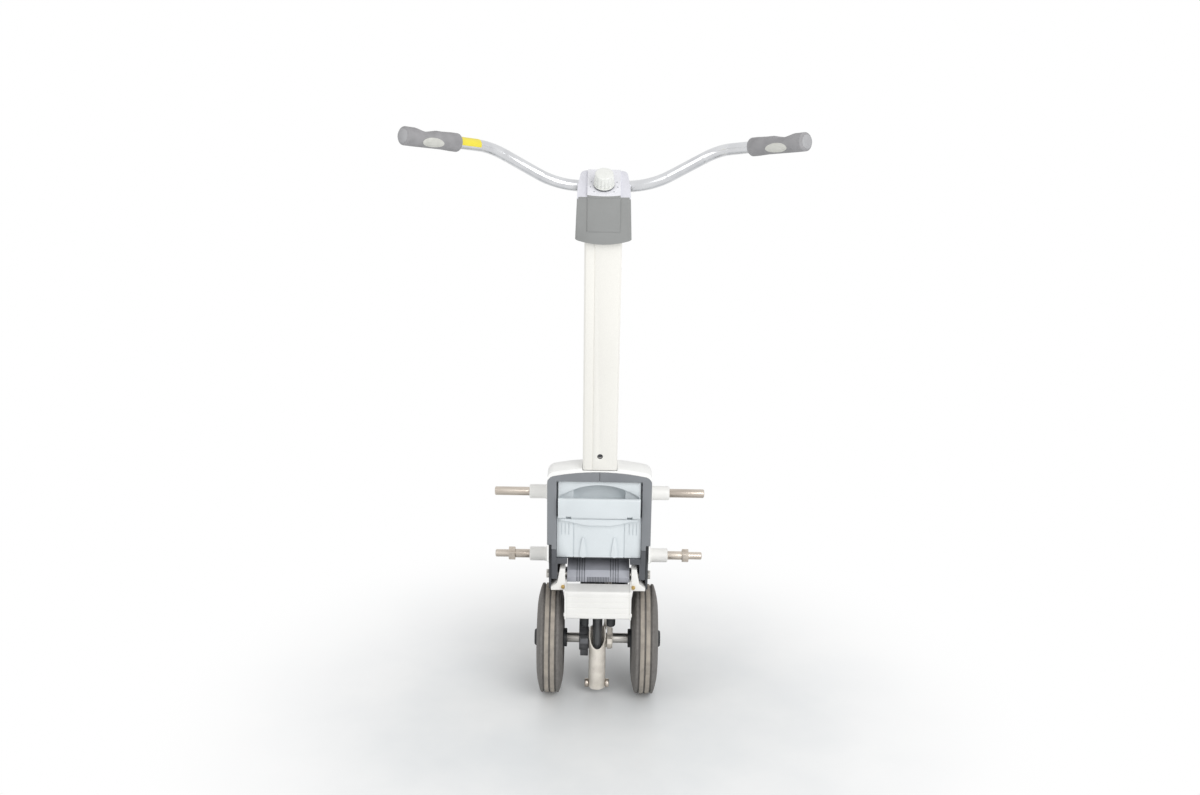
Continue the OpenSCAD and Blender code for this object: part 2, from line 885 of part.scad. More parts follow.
module speed_knob() {
    r = knob_d / 2;
    top_r = r * knob_top_share;
    base = plate_rise + gap;
    color("#e9ede4") placed() on_mast() on_head_roof() difference() {
        union() {
            translate([0, 0, base]) rotate_extrude() polygon([
                [0, 0], [r - knob_edge, 0], [r, knob_edge], [r, knob_ring_h], [top_r, knob_h - knob_edge],
                [top_r - knob_edge, knob_h], [0, knob_h]
            ]);
            translate([0, 0, base - stem_len]) cylinder(h = stem_len + lap, d = stem_d);
        }
        for (i = [0:rib_count - 1]) rotate([0, 0, i * 360 / rib_count])
            translate([(top_r + r) / 2 + rib_d / 5, 0, base + knob_ring_h + knob_edge])
                cylinder(h = knob_h, d = rib_d);
    }
}

// Handlebar: a tube through the head, bent up and then swept back
bar_wall = 2;
bar_flat = 72;
bar_rise_x = 176;
bend_radii = [0, 90, 120, 120, 90, 0];
bar_mid_back = 37;
bar_mid_up = 65;
bar_tip_shares = [0.636, -0.746, 0.199];
band_len = 44;
band_space = 2;
grip_cap = 3;
bar_mid = [bar_rise_x, -bar_mid_back, bar_mid_up];
bar_rise_dir = unit(bar_mid - [bar_flat, 0, 0]);
bar_tip_dir = unit(bar_tip_shares);
bar_tip_cut = bend_radii[4] * tan(acos(bar_rise_dir * bar_tip_dir) / 2);
bar_tip = bar_mid + bar_tip_dir * (bar_tip_cut + band_space + band_len + grip_len - grip_cap);
bar_points = [
    [-bar_tip[0], bar_tip[1], bar_tip[2]], [-bar_mid[0], bar_mid[1], bar_mid[2]], [-bar_flat, 0, 0],
    [bar_flat, 0, 0], bar_mid, bar_tip
];

// Turns the Z axis along a direction
module aim(v) {
    rotate([0, acos(v[2] / norm(v)), atan2(v[1], v[0])]) children();
}

function bend_half(i) =
    acos(unit(bar_points[i - 1] - bar_points[i]) * unit(bar_points[i + 1] - bar_points[i])) / 2;
function bend_cut(i) = i == 0 || i == len(bar_points) - 1 ? 0 : bend_radii[i] / tan(bend_half(i));

// Bends are a little thicker than the straight runs, which lap into them
bend_swell = 0.05;
bend_lap = 1;

module bar_ring(swell) {
    difference() {
        circle(d = bar_d + 2 * swell);
        circle(d = bar_d - 2 * bar_wall - 2 * swell);
    }
}

// Tube along the bar's points: straight runs and round bends
module bent_tube() {
    last = len(bar_points) - 1;
    for (i = [0:last - 1]) {
        v = bar_points[i + 1] - bar_points[i];
        lap0 = i == 0 ? 0 : bend_lap;
        lap1 = i == last - 1 ? 0 : bend_lap;
        translate(bar_points[i] + unit(v) * (bend_cut(i) - lap0)) aim(v)
            linear_extrude(norm(v) - bend_cut(i) - bend_cut(i + 1) + lap0 + lap1) bar_ring(0);
    }
    for (i = [1:last - 1]) {
        u = unit(bar_points[i - 1] - bar_points[i]);
        w = unit(bar_points[i + 1] - bar_points[i]);
        centre = bar_points[i] + unit(u + w) * bend_radii[i] / sin(bend_half(i));
        start = unit(bar_points[i] + u * bend_cut(i) - centre);
        up = unit(cross(u, w));
        side = cross(-up, start);
        multmatrix([
            [start[0], side[0], -up[0], centre[0]], [start[1], side[1], -up[1], centre[1]],
            [start[2], side[2], -up[2], centre[2]], [0, 0, 0, 1]
        ]) rotate_extrude(angle = 180 - 2 * bend_half(i)) translate([bend_radii[i], 0]) bar_ring(bend_swell);
    }
}

module on_bar() { placed() on_mast() translate([0, bar_v, bar_s]) rotate([-mast_lean, 0, 0]) children(); }

module handlebar() {
    color("#c8cbcd") on_bar() bent_tube();
}

// Frame of a grip: Z runs from its inner end to the bar's end
module on_grip(s) {
    on_bar() mirror([s < 0 ? 1 : 0, 0, 0])
        translate(bar_tip - bar_tip_dir * (grip_len - grip_cap)) aim(bar_tip_dir) children();
}

grip_flange_r = 14;
grip_waist_r = 13.2;
grip_end_r = 13.8;
grip_flange_share = 0.12;
grip_waist_share = 0.3;
grip_swell_share = 0.8;
grip_edge_r = 3;
scoop_r = 62;
scoop_depth = 4;
scoop_share = 0.6;

// Outline of a grip in radius and length, with an even extra thickness
function grip_side(extra) = [
    [0, grip_len], [grip_end_r - grip_edge_r + extra, grip_len], [grip_end_r + extra, grip_len - grip_edge_r],
    [grip_end_r + extra, grip_len * grip_swell_share], [grip_waist_r + extra, grip_len * grip_waist_share],
    [grip_flange_r + extra, grip_len * grip_flange_share], [grip_flange_r + extra, grip_edge_r / 2],
    [grip_flange_r - grip_edge_r / 2 + extra, 0], [0, 0]
];

// Hollow for the thumb in the upper side of a grip
module scoop() {
    translate([scoop_depth - scoop_r - grip_waist_r, 0, grip_len * scoop_share]) rotate([90, 0, 0])
        translate([0, 0, -grip_len / 2]) cylinder(h = grip_len, r = scoop_r, $fn = 180);
}

module grip(s) {
    color("#6f7275") on_grip(s) difference() {
        rotate_extrude() polygon(grip_side(0));
        translate([0, 0, -overrun]) cylinder(h = grip_len - grip_cap + overrun, d = bar_d + 2 * fit);
        scoop();
    }
}

module left_grip() { grip(-1); }

module right_grip() { grip(1); }

inlay_len = 43;
inlay_w = 15;
inlay_t = 0.8;
inlay_turn = 290;
inlay_share = 0.54;

// Oval inlay on the rear of each grip
module grip_inlays() {
    mid = grip_len * inlay_share;
    oval = [for (a = [0:180 / arc_steps:359]) [inlay_w / 2 * cos(a), mid + inlay_len / 2 * sin(a)]];
    color("#d4d6d4") for (s = [-1, 1]) on_grip(s) difference() {
        intersection() {
            rotate_extrude() polygon(grip_side(inlay_t));
            rotate([0, 0, inlay_turn]) along_x(0, grip_flange_r + overrun) polygon(oval);
        }
        rotate_extrude() polygon(grip_side(0));
        scoop();
    }
}

band_t = 0.6;
band_drop = 2.5;

// Coloured strip over the upper side of the bar beside the left grip
module marker_band() {
    color("#f0e021") on_grip(-1) translate([0, 0, -band_len]) intersection() {
        difference() {
            cylinder(h = band_len, d = bar_d + 2 * band_t);
            translate([0, 0, -overrun]) cylinder(h = band_len + 2 * overrun, d = bar_d + 2 * fit);
        }
        block([-bar_d, -bar_d, 0], [band_drop, bar_d, band_len]);
    }
}

// Battery case: a closed shell whose roof falls to the front
module battery_case() {
    w = case_wall;
    drop = case_front_drop;
    color("#d9dee0") placed() difference() {
        along_x(-battery_half, battery_half) polygon([
            [case_rear, battery_low], [case_front, battery_low], [case_front, battery_top - drop],
            [case_rear, battery_top]
        ]);
        along_x(-battery_half + w, battery_half - w) polygon([
            [case_rear + w, battery_low + w], [case_front - w, battery_low + w],
            [case_front - w, battery_top - drop - w], [case_rear + w, battery_top - w]
        ]);
    }
}

module battery_blocks() {
    color("#33363a") placed() both_sides()
        translate([gap, case_rear + case_wall + gap / 2, battery_low + case_wall])
            cube([block_w, block_len, block_h]);
}

// Battery front: an arched recess with a finger pocket behind the handle, a lip, ribs and grooves
handle_rise = 78;
handle_low = battery_low + handle_rise;
handle_h = 40;
handle_t = 7;
handle_axis = [battery_rear - handle_t, handle_low + handle_t];
handle_reach = 8;
lug_w = 8;
lug_x = 50;
lug_r = 4.5;
lug_pin_d = 5;
pocket_in = 8;
pocket_half = 46;
pocket_depth = 22;
pocket_low = handle_low + pocket_in;
pocket_high = battery_top - pocket_in;
pocket_r = 10;
arch_half = 70;
arch_r = 122;
arch_depth = 6;
arch_corner_r = 6;
front_step = 2.5;
front_step_depth = 12;
lip_half = 68;
lip_flat = 16;
lip_end = 3;
lip_rise = 12;
lip_out = 8;
lip_steps = 24;
rib_x = 28;
rib_low_r = 6;
rib_top_r = 1.8;
rib_h = 38;
rib_out = 4;
face_groove_w = 2;
face_groove_depth = 1.5;
face_groove_x = 44;
notch_w = 1.2;
notch_h = 22;
notch_pitch = 6.5;
notch_x = 53;
notch_count = 3;

// Depth of the lip at a distance from the middle: full in the middle, then an S down to its ends
function lip_depth(x) =
    let (share = max(0, min(1, (lip_half - abs(x)) / (lip_half - lip_flat))))
    lip_end + (lip_rise - lip_end) * share * share * (3 - 2 * share);

module front_lip() {
    top = handle_axis[1] - handle_t - 3 * gap;
    xs = [for (i = [0:lip_steps]) lip_half * (2 * i / lip_steps - 1)];
    along_y(battery_rear - lip_out, battery_rear + lap)
        polygon(concat([for (x = xs) [x, top - lip_depth(x)]], [[lip_half, top], [-lip_half, top]]));
}

module tear_rib() {
    along_y(battery_rear - rib_out, battery_rear + lap) polygon(stadium(
        [rib_x, battery_low + rib_low_r + lap], rib_low_r, [rib_x, battery_low + rib_h], rib_top_r
    ));
}

module battery_front() {
    low_top = handle_low - lip_rise;
    color("#dfe4e6") placed() difference() {
        union() {
            block([-battery_half, battery_rear, battery_low], [battery_half, case_rear, battery_top]);
            front_lip();
            both_sides() tear_rib();
            both_sides() along_x(lug_x, lug_x + lug_w) union() {
                translate(handle_axis) circle(lug_r);
                translate([handle_axis[0], handle_axis[1] - lug_r])
                    square([battery_rear - handle_axis[0] + arch_depth + lap, 2 * lug_r]);
            }
        }
        x_bar(-battery_half, battery_half, handle_axis, lug_pin_d + 2 * fit);
        along_y(battery_rear, battery_rear + pocket_depth)
            polygon(crown(pocket_half, pocket_high, arch_r, pocket_r, pocket_low));
        difference() {
            along_y(battery_rear - overrun, battery_rear + arch_depth)
                polygon(crown(arch_half, pocket_high, arch_r, arch_corner_r, pocket_low));
            both_sides() along_x(lug_x, lug_x + lug_w) translate([handle_axis[0], handle_axis[1] - lug_r])
                square([battery_rear - handle_axis[0] + arch_depth + lap, 2 * lug_r]);
        }
        both_sides() block(
            [battery_half - front_step, battery_rear - overrun, handle_low],
            [battery_half + overrun, battery_rear + front_step_depth, battery_top + overrun]
        );
        both_sides() block(
            [face_groove_x, battery_rear - overrun, battery_low - overrun],
            [face_groove_x + face_groove_w, battery_rear + face_groove_depth, low_top]
        );
        both_sides() for (i = [0:notch_count - 1])
            translate([notch_x + i * notch_pitch, battery_rear - overrun, low_top - notch_h])
                cube([notch_w, overrun + face_groove_depth, notch_h]);
    }
}

// Folding handle across the battery front, turning on two pins in lugs
module battery_handle() {
    half = battery_half - front_step;
    rear = handle_axis[0] - handle_reach;
    top = handle_low + handle_h;
    inner = handle_axis[0] + handle_t;
    soft = handle_t / 2;
    color("#e6ebec") placed() difference() {
        union() {
            difference() {
                along_x(-half, half) union() {
                    translate(handle_axis) circle(handle_t);
                    polygon(concat(
                        [[rear + lap, handle_axis[1]]], [[rear, handle_axis[1] + soft]],
                        arc([rear + soft, top - soft], soft, 180, 90),
                        arc([inner - handle_t - soft, top - soft], soft, 90, 0),
                        [[inner - handle_t, handle_axis[1] + handle_t], [inner, handle_axis[1]]]
                    ));
                }
                both_sides() along_x(lug_x - 2 * gap, lug_x + lug_w + 2 * gap) union() {
                    translate(handle_axis) circle(lug_r + 2 * gap);
                    translate([handle_axis[0], handle_axis[1] - lug_r - 2 * gap])
                        square([handle_t + overrun, handle_h]);
                    translate([handle_axis[0] - handle_reach, handle_axis[1] - handle_t - overrun])
                        square([2 * handle_reach, handle_t + overrun]);
                }
            }
            both_sides() x_bar(lug_x - 4 * gap, lug_x + lug_w + 4 * gap, handle_axis, lug_pin_d);
        }
    }
}

// Belt case with the pulleys, and the right arm: together they carry the axle and the motor
motor_fore = 85;
motor_rise = 50;
motor_at = [motor_fore, axle[1] + motor_rise];
case_in = -17;
case_out = -31.5;
case_back_t = 4;
case_space = 6.5;
case_foot_r = 12;
case_foot_drop = 24;
belt_space = 4;
case_r = pulley_r + case_space;
cavity_r = pulley_r + belt_space;
axle_clear = 1;
pivot_boss_r = 18;
bearing_d = 32;
bearing_w = 7;
bearing_seat = -15.5;
seat_r = 20;
lug_rear = -57;
lug_rise = 28;
lug_top = axle[1] + lug_rise;
lug_deep = 10;

module stop_lug() {
    polygon([
        [0, axle[1] + seat_r / 2], [lug_rear, lug_top], [lug_rear, lug_top - lug_deep], [-seat_r / 2, axle[1]]
    ]);
}

module belt_case() {
    back = case_in - case_back_t;
    color("#4a4d50") placed() difference() {
        union() {
            along_x(case_out, case_in) {
                polygon(stadium(axle, case_r, motor_at, case_r));
                polygon(stadium(motor_at, case_r, pivot, pivot_boss_r));
                polygon(stadium(axle, case_foot_r, axle - [0, case_foot_drop], case_foot_r));
                stop_lug();
            }
            x_bar(case_in - lap, bearing_seat, axle, 2 * seat_r);
        }
        along_x(case_out - overrun, back) polygon(stadium(axle, cavity_r, motor_at, cavity_r));
        x_bar(bearing_seat - bearing_w, bearing_seat + overrun, axle, bearing_d + 2 * fit);
        x_bar(back - overrun, 0, axle, axle_d + 2 * axle_clear);
        x_bar(back - overrun, 0, motor_at, motor_d / 3);
        x_bar(2 * case_out, 0, pivot, tube_out_d + 2 * fit);
    }
}

case_cover_t = 2;

module belt_case_cover() {
    color("#54575a") placed() difference() {
        along_x(case_out - case_cover_t, case_out) polygon(stadium(axle, case_r, motor_at, case_r));
        x_bar(2 * case_out, 0, axle, axle_d + 2 * axle_clear);
    }
}

arm_in = 18;
arm_out = 26;
arm_rim = 5;
arm_motor_r = motor_d / 2 + arm_rim;
arm_flange_t = 2;
arm_flange_d = 37;
link_rise = 25;
link_low = [0, axle[1] + link_rise];
link_pin_d = 6;
link_r = 7;

module right_arm() {
    color("#c9cac8") placed() difference() {
        union() {
            along_x(arm_in, arm_out) {
                polygon(stadium(axle, seat_r, motor_at, arm_motor_r));
                polygon(stadium(motor_at, arm_motor_r, pivot, pivot_boss_r));
                polygon(stadium(axle, seat_r, link_low, link_r));
                stop_lug();
            }
            x_bar(arm_in - link_r, arm_out, link_low, link_pin_d);
            x_bar(arm_out - lap, arm_out + arm_flange_t, axle, arm_flange_d);
        }
        x_bar(arm_in - overrun, arm_in + bearing_w, axle, bearing_d + 2 * fit);
        x_bar(0, 2 * arm_out, axle, axle_d + 2 * axle_clear);
        x_bar(0, 2 * arm_out, motor_at, motor_d + 2 * fit);
        x_bar(0, 2 * arm_out, pivot, tube_out_d + 2 * fit);
    }
}

// Pivot tube of the swing arm and its bushes
pivot_wall = 5;
bush_wall = 2;
tube_out_d = pivot_d + 2 * pivot_wall;
bush_d = pivot_d + 2 * bush_wall;
bush_len = 20;
bush_flange_t = 2;
tube_half = plate_in - bush_flange_t - gap;

module pivot_tube() {
    color("#6a6d70") placed() difference() {
        x_bar(-tube_half, tube_half, pivot, tube_out_d);
        x_bar(-tube_half - overrun, tube_half + overrun, pivot, bush_d + 2 * fit);
    }
}

module pivot_bushes() {
    color("#b08d4f") placed() both_sides() x_turned(pivot) polygon([
        [tube_half - bush_len, pivot_d / 2 + fit], [tube_half - bush_len, bush_d / 2], [tube_half, bush_d / 2],
        [tube_half, tube_out_d / 2], [tube_half + bush_flange_t, tube_out_d / 2],
        [tube_half + bush_flange_t, pivot_d / 2 + fit]
    ]);
}

// Drive motor between the belt case and the right arm
motor_cap = 6;
motor_space = 6;
motor_end = wheel_in - motor_space - motor_cap;
shaft_d = 10;

module drive_motor() {
    r = motor_d / 2;
    color("#3b3e41") placed() x_turned(motor_at) polygon([
        [case_in, shaft_d / 2 + fit], [case_in, r], [motor_end, r], [motor_end + motor_cap, r - motor_cap],
        [motor_end + motor_cap, 0], [0, 0], [0, shaft_d / 2 + fit]
    ]);
}

// Belt and pulleys
belt_t = 2.5;
belt_w = 6;
belt_x = -29.8;
flange_t = 0.8;
flange_over = 2.6;

module drive_belt() {
    inner = pulley_r + gap;
    color("#1f2021") placed() along_x(belt_x, belt_x + belt_w) difference() {
        polygon(stadium(axle, inner + belt_t, motor_at, inner + belt_t));
        polygon(stadium(axle, inner, motor_at, inner));
    }
}

module pulley(at, bore_r) {
    rim = pulley_r + flange_over;
    x0 = belt_x - gap;
    x1 = belt_x + belt_w + gap;
    x_turned(at) polygon([
        [x0 - flange_t, bore_r], [x0 - flange_t, rim], [x0, rim], [x0, pulley_r], [x1, pulley_r], [x1, rim],
        [x1 + flange_t, rim], [x1 + flange_t, bore_r]
    ]);
}

module driven_pulley() { color("#8c8f91") placed() pulley(axle, axle_d / 2 + fit); }

module drive_pulley() {
    color("#8c8f91") placed() union() {
        pulley(motor_at, 0);
        x_bar(belt_x, -gap, motor_at, shaft_d);
    }
}

module axle_bearings() {
    color("#a9adb0") placed() for (x = [bearing_seat - bearing_w, arm_in]) difference() {
        x_bar(x, x + bearing_w, axle, bearing_d);
        x_bar(x - overrun, x + bearing_w + overrun, axle, axle_d + 2 * fit);
    }
}

// Spring tube, cut back at its rear so that the gas spring can swing, and the bolt through its foot
tube_y = -25;
tube_low = 14;
tube_over = 32;
tube_high = axle[1] + tube_over;
bolt_rise = 6;
bolt_z = tube_low + bolt_rise;
tube_cut_drop = 7;
tube_cut_turn = 60;
saddle_t = 4;
saddle_h = 12;
spring_bolt_d = 8;
bolt_head_d = 16;
bolt_head_t = 7;

module spring_tube() {
    saddle_front = axle[0] - axle_d / 2 - 2 * gap;
    color("#cdc8be") placed() difference() {
        union() {
            translate([0, tube_y, tube_low]) cylinder(h = tube_high - tube_low, d = tube_d);
            block(
                [bearing_seat, saddle_front - saddle_t, axle[1] - saddle_h],
                [arm_in, saddle_front, axle[1] + saddle_h]
            );
        }
        translate([0, tube_y, tube_low - overrun]) cylinder(h = tube_high, d = tube_bore);
        translate([0, tube_y - tube_d / 2, axle[1] - tube_cut_drop]) rotate([tube_cut_turn, 0, 0])
            block([-tube_d, -tube_d, 0], [tube_d, 4 * tube_d, 2 * tube_d]);
        x_bar(-tube_d, tube_d, [tube_y, bolt_z], spring_bolt_d + 2 * fit);
    }
}

module spring_bolt() {
    side = tube_d / 2;
    color("#d2cec6") placed() union() {
        x_bar(-side - lap, side + lap, [tube_y, bolt_z], spring_bolt_d);
        both_sides() x_bar(side + fit, side + bolt_head_t, [tube_y, bolt_z], bolt_head_d);
    }
}

// Gas spring between the cross shaft and the bolt of the spring tube
spring_line = [tube_y, bolt_z] - cross_at;
spring_turn = atan2(spring_line[0], -spring_line[1]);
spring_len = norm(spring_line);
gas_d = 18;
gas_wall = 1.6;
gas_end = 165;
gas_top = 21;
gas_neck_d = 11;
gland_t = 10;
eye_r = 8;
eye_w = 16;
gas_rod_d = 8;
piston_h = 8;
rod_eye_r = 8;
rod_eye_w = 14;
open_play = 0.3;

// Frame of the spring: Z points down its line from the cross shaft
module on_spring() {
    translate([0, cross_at[0], cross_at[1]]) rotate([spring_turn, 0, 0]) mirror([0, 0, 1]) children();
}

module gas_spring() {
    bore = gas_d - 2 * gas_wall;
    color("#26282a") placed() on_spring() difference() {
        union() {
            x_bar(-eye_w / 2, eye_w / 2, [0, 0], 2 * eye_r);
            cylinder(h = gas_top + lap, d = gas_neck_d);
            translate([0, 0, gas_top]) cylinder(h = gas_end - gas_top, d = gas_d);
        }
        x_bar(-eye_w, eye_w, [0, 0], cross_d + 2 * fit);
        translate([0, 0, gas_top + gland_t / 2])
            cylinder(h = gas_end - gas_top - gland_t - gland_t / 2, d = bore);
        translate([0, 0, gas_top + gland_t]) cylinder(h = gas_end, d = gas_rod_d + 2 * fit);
    }
}

module gas_rod() {
    bore = gas_d - 2 * gas_wall;
    piston = gas_end - gland_t - 2 * piston_h;
    color("#b4b7b9") placed() on_spring() difference() {
        union() {
            translate([0, 0, piston]) cylinder(h = spring_len - piston, d = gas_rod_d);
            translate([0, 0, piston]) cylinder(h = piston_h, d = bore - 2 * gap);
            x_bar(-rod_eye_w / 2, rod_eye_w / 2, [0, spring_len], 2 * rod_eye_r);
        }
        x_bar(-rod_eye_w, rod_eye_w, [0, spring_len], spring_bolt_d + 2 * open_play);
    }
}

// Foot pedal on the cross shaft, and the link that lifts the arm
pedal_side = 0.5;
pedal_half = box_half - pedal_side;
pedal_front = 12;
pedal_rear = -36;
pedal_crease = -28;
pedal_high_rise = 39;
pedal_mid_rise = 32;
pedal_knee_rise = 22;
pedal_low_rise = 12;
pedal_high = frame_low + pedal_high_rise;
pedal_mid = frame_low + pedal_mid_rise;
pedal_knee = frame_low + pedal_knee_rise;
pedal_low = frame_low + pedal_low_rise;
pedal_t = 3;
pedal_lug_in = 30;
pedal_lug_r = 8;
tread_groove_w = 1.6;
tread_groove_depth = 1.5;
tread_shares = [-0.7, -0.62, -0.54, -0.46, 0.38, 0.46, 0.54, 0.62];
skirt_ribs = 14;
skirt_span_share = 0.36;
crank_r = 32;
crank_turn = -13.5;
link_high = cross_at + turned([crank_r, 0], crank_turn);
link_in = 11.5;
link_t = 5;
link_slot = 16;
slot_play = 1;

// Skin of the pedal, of a given depth under its upper side
module pedal_skin(depth) {
    polygon([
        [pedal_front, pedal_high], [pedal_crease, pedal_mid], [pedal_rear, pedal_knee], [pedal_rear, pedal_low],
        [pedal_rear + depth, pedal_low], [pedal_rear + depth, pedal_knee - depth / 3],
        [pedal_crease + depth / 3, pedal_mid - depth], [pedal_front, pedal_high - depth]
    ]);
}

module foot_pedal() {
    color("#63676b") placed() difference() {
        union() {
            along_x(-pedal_half, pedal_half) pedal_skin(pedal_t);
            both_sides() along_x(pedal_lug_in, pedal_half) {
                translate(cross_at) circle(pedal_lug_r);
                translate([cross_at[0] - pedal_lug_r / 2, cross_at[1]])
                    square([pedal_lug_r, pedal_mid - cross_at[1]]);
            }
            along_x(arm_in, arm_in + link_r) polygon(stadium(
                link_high, link_r, [pedal_front - link_r / 2, pedal_high - link_r], link_r / 2
            ));
            x_bar(arm_in - link_r, arm_in + lap, link_high, link_pin_d);
        }
        x_bar(-half_w, half_w, cross_at, cross_d + 2 * fit);
        for (share = tread_shares)
            along_x(share * pedal_half, share * pedal_half + tread_groove_w) pedal_skin(tread_groove_depth);
        for (i = [0:skirt_ribs]) {
            x = pedal_half * skirt_span_share * (2 * i / skirt_ribs - 1);
            block(
                [x, pedal_rear - overrun, pedal_low - overrun],
                [x + tread_groove_w, pedal_rear + tread_groove_depth, pedal_knee]
            );
        }
    }
}

module lift_link() {
    along = unit(link_high - link_low);
    hole = link_pin_d / 2 + slot_play;
    color("#c4c6c6") placed() difference() {
        along_x(link_in, link_in + link_t) difference() {
            polygon(stadium(link_low, link_r, link_high, link_r));
            polygon(stadium(link_low, hole, link_low + along * link_slot, hole));
        }
        x_bar(0, half_w, link_high, link_pin_d + 2 * fit);
    }
}

// Axle, wheels and caps
axle_end = wheel_track / 2 + wheel_w / 2;
hub_d = 44;
web_w = 14;
rim_t = 6;
rim_in = 5;
rim_w = wheel_w - 2 * rim_in;
inner_flange_d = 34;
inner_flange_w = 6;
cap_d = 31;
cap_t = 6;
cap_edge = 2;

module drive_axle() { color("#b9bcbd") placed() x_bar(-axle_end, axle_end, axle, axle_d); }

module wheel_hubs() {
    mid = wheel_track / 2;
    bore = axle_d / 2 + fit;
    r = rim_d / 2;
    inner = wheel_in;
    color("#3c3f42") placed() both_sides() x_turned(axle) polygon([
        [inner - inner_flange_w, bore], [inner - inner_flange_w, inner_flange_d / 2], [inner, inner_flange_d / 2],
        [inner + lap, hub_d / 2], [mid - web_w / 2, hub_d / 2 + rim_t], [mid - web_w / 2, r - 2 * rim_t],
        [mid - rim_w / 2, r - rim_t], [mid - rim_w / 2, r], [mid + rim_w / 2, r], [mid + rim_w / 2, r - rim_t],
        [mid + web_w / 2, r - 2 * rim_t], [mid + web_w / 2, hub_d / 2 + rim_t],
        [mid + wheel_w / 2 - lap, hub_d / 2], [mid + wheel_w / 2, inner_flange_d / 2], [mid + wheel_w / 2, bore]
    ]);
}

groove_pitch = 10.5;
groove_w = 3;
groove_depth = 2.5;
shoulder_h = 32;
shoulder_shares = [[1, 1], [0.84, 0.7], [0.58, 0.4], [0.32, 0.16], [0.12, 0.03], [0, 0]];
bead_h = 3;
bead_in = 2;

// Half outline of a tyre: bead, sidewall and a shoulder that falls from the tread
function tyre_half(r) = concat(
    [[rim_w / 2, rim_d / 2 + fit], [wheel_w / 2 - bead_in, rim_d / 2 + bead_h]],
    [for (share = shoulder_shares)
        [tread_w / 2 + (wheel_w - tread_w) / 2 * share[0], r - shoulder_h * share[1]]]
);

module tyres() {
    r = wheel_d / 2;
    side = tyre_half(r);
    other = [for (i = [len(side) - 1:-1:0]) [-side[i][0], side[i][1]]];
    color("#57544f") placed() both_sides() x_turned(axle) translate([wheel_track / 2, 0]) difference() {
        polygon(concat(side, other));
        for (i = [-1:1])
            translate([i * groove_pitch - groove_w / 2, r - groove_depth])
                square([groove_w, groove_depth + overrun]);
    }
}

module hub_caps() {
    color("#2f3133") placed() both_sides() x_turned(axle) polygon([
        [axle_end + fit, 0], [axle_end + fit, cap_d / 2], [axle_end + cap_t / 2, cap_d / 2],
        [axle_end + cap_t, cap_d / 2 - cap_edge], [axle_end + cap_t, 0]
    ]);
}

side_plates();
mast_post();
post_guide();
top_cover();
left_bezel();
right_bezel();
side_panels();
front_panel();
battery_sill();
battery_tray();
battery_socket();
rod_sleeves();
mount_rods();
rod_collars();
cross_shaft();
pivot_shaft();
controller_box();
controller_end_plates();
side_brackets();
bump_stops();
frame_screws();
mast_tube();
mast_guide();
lock_screw();
head_shell();
head_cover();
control_plate();
bar_clamp();
handlebar();
left_grip();
right_grip();
grip_inlays();
marker_band();
control_board();
speed_knob();
battery_case();
battery_front();
battery_blocks();
battery_contacts();
battery_handle();
belt_case();
belt_case_cover();
right_arm();
pivot_tube();
pivot_bushes();
drive_motor();
drive_belt();
axle_bearings();
spring_tube();
spring_bolt();
drive_axle();
wheel_hubs();
tyres();
hub_caps();
driven_pulley();
drive_pulley();
foot_pedal();
lift_link();
gas_spring();
gas_rod();
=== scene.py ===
import json
import math

import bmesh
import bpy
from mathutils import Matrix, Vector


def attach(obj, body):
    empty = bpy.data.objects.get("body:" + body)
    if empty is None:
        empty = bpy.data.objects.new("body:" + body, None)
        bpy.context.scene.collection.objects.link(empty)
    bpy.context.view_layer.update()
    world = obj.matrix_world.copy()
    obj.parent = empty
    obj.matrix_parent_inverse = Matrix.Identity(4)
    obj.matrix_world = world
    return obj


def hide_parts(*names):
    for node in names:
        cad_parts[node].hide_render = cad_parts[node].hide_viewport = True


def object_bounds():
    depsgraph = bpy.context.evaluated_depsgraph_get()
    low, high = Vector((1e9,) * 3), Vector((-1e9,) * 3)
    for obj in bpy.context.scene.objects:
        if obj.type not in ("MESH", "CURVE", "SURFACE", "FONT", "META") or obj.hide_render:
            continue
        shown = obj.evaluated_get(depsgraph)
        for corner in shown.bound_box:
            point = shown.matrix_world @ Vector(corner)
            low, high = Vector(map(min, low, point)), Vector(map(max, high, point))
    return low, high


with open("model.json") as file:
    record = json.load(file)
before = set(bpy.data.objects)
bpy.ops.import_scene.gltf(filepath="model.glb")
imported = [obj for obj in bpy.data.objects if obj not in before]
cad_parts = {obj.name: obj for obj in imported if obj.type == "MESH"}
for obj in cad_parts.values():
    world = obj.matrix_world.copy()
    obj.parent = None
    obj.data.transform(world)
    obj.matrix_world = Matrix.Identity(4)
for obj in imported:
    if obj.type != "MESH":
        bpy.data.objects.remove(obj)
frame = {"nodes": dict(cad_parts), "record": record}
cad_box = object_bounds()

# Room: a pale worn floor that fades to white round the part, an even white sky, one large soft lamp
# at the near right and a weaker one at the left. The camera is where a standing adult looks from.
scene = bpy.context.scene
scene.view_settings.view_transform = "Standard"

pure_white = (1, 1, 1, 1)
floor_z = cad_box[0].z
floor_half = 12.0
floor_middle = (0, 4, floor_z)
floor_mesh = bpy.data.meshes.new("floor")
floor_bm = bmesh.new()
bmesh.ops.create_grid(
    floor_bm, x_segments=1, y_segments=1, size=floor_half, matrix=Matrix.Translation(floor_middle)
)
floor_bm.to_mesh(floor_mesh)
floor_bm.free()
floor = bpy.data.objects.new("floor", floor_mesh)
scene.collection.objects.link(floor)
floor_paint = bpy.data.materials.new("floor_paint")
floor_paint.use_nodes = True
floor_tree = floor_paint.node_tree
floor_shader = floor_tree.nodes["Principled BSDF"]
floor_shader.inputs["Roughness"].default_value = 0.32
floor_place = floor_tree.nodes.new("ShaderNodeTexCoord").outputs["Object"]


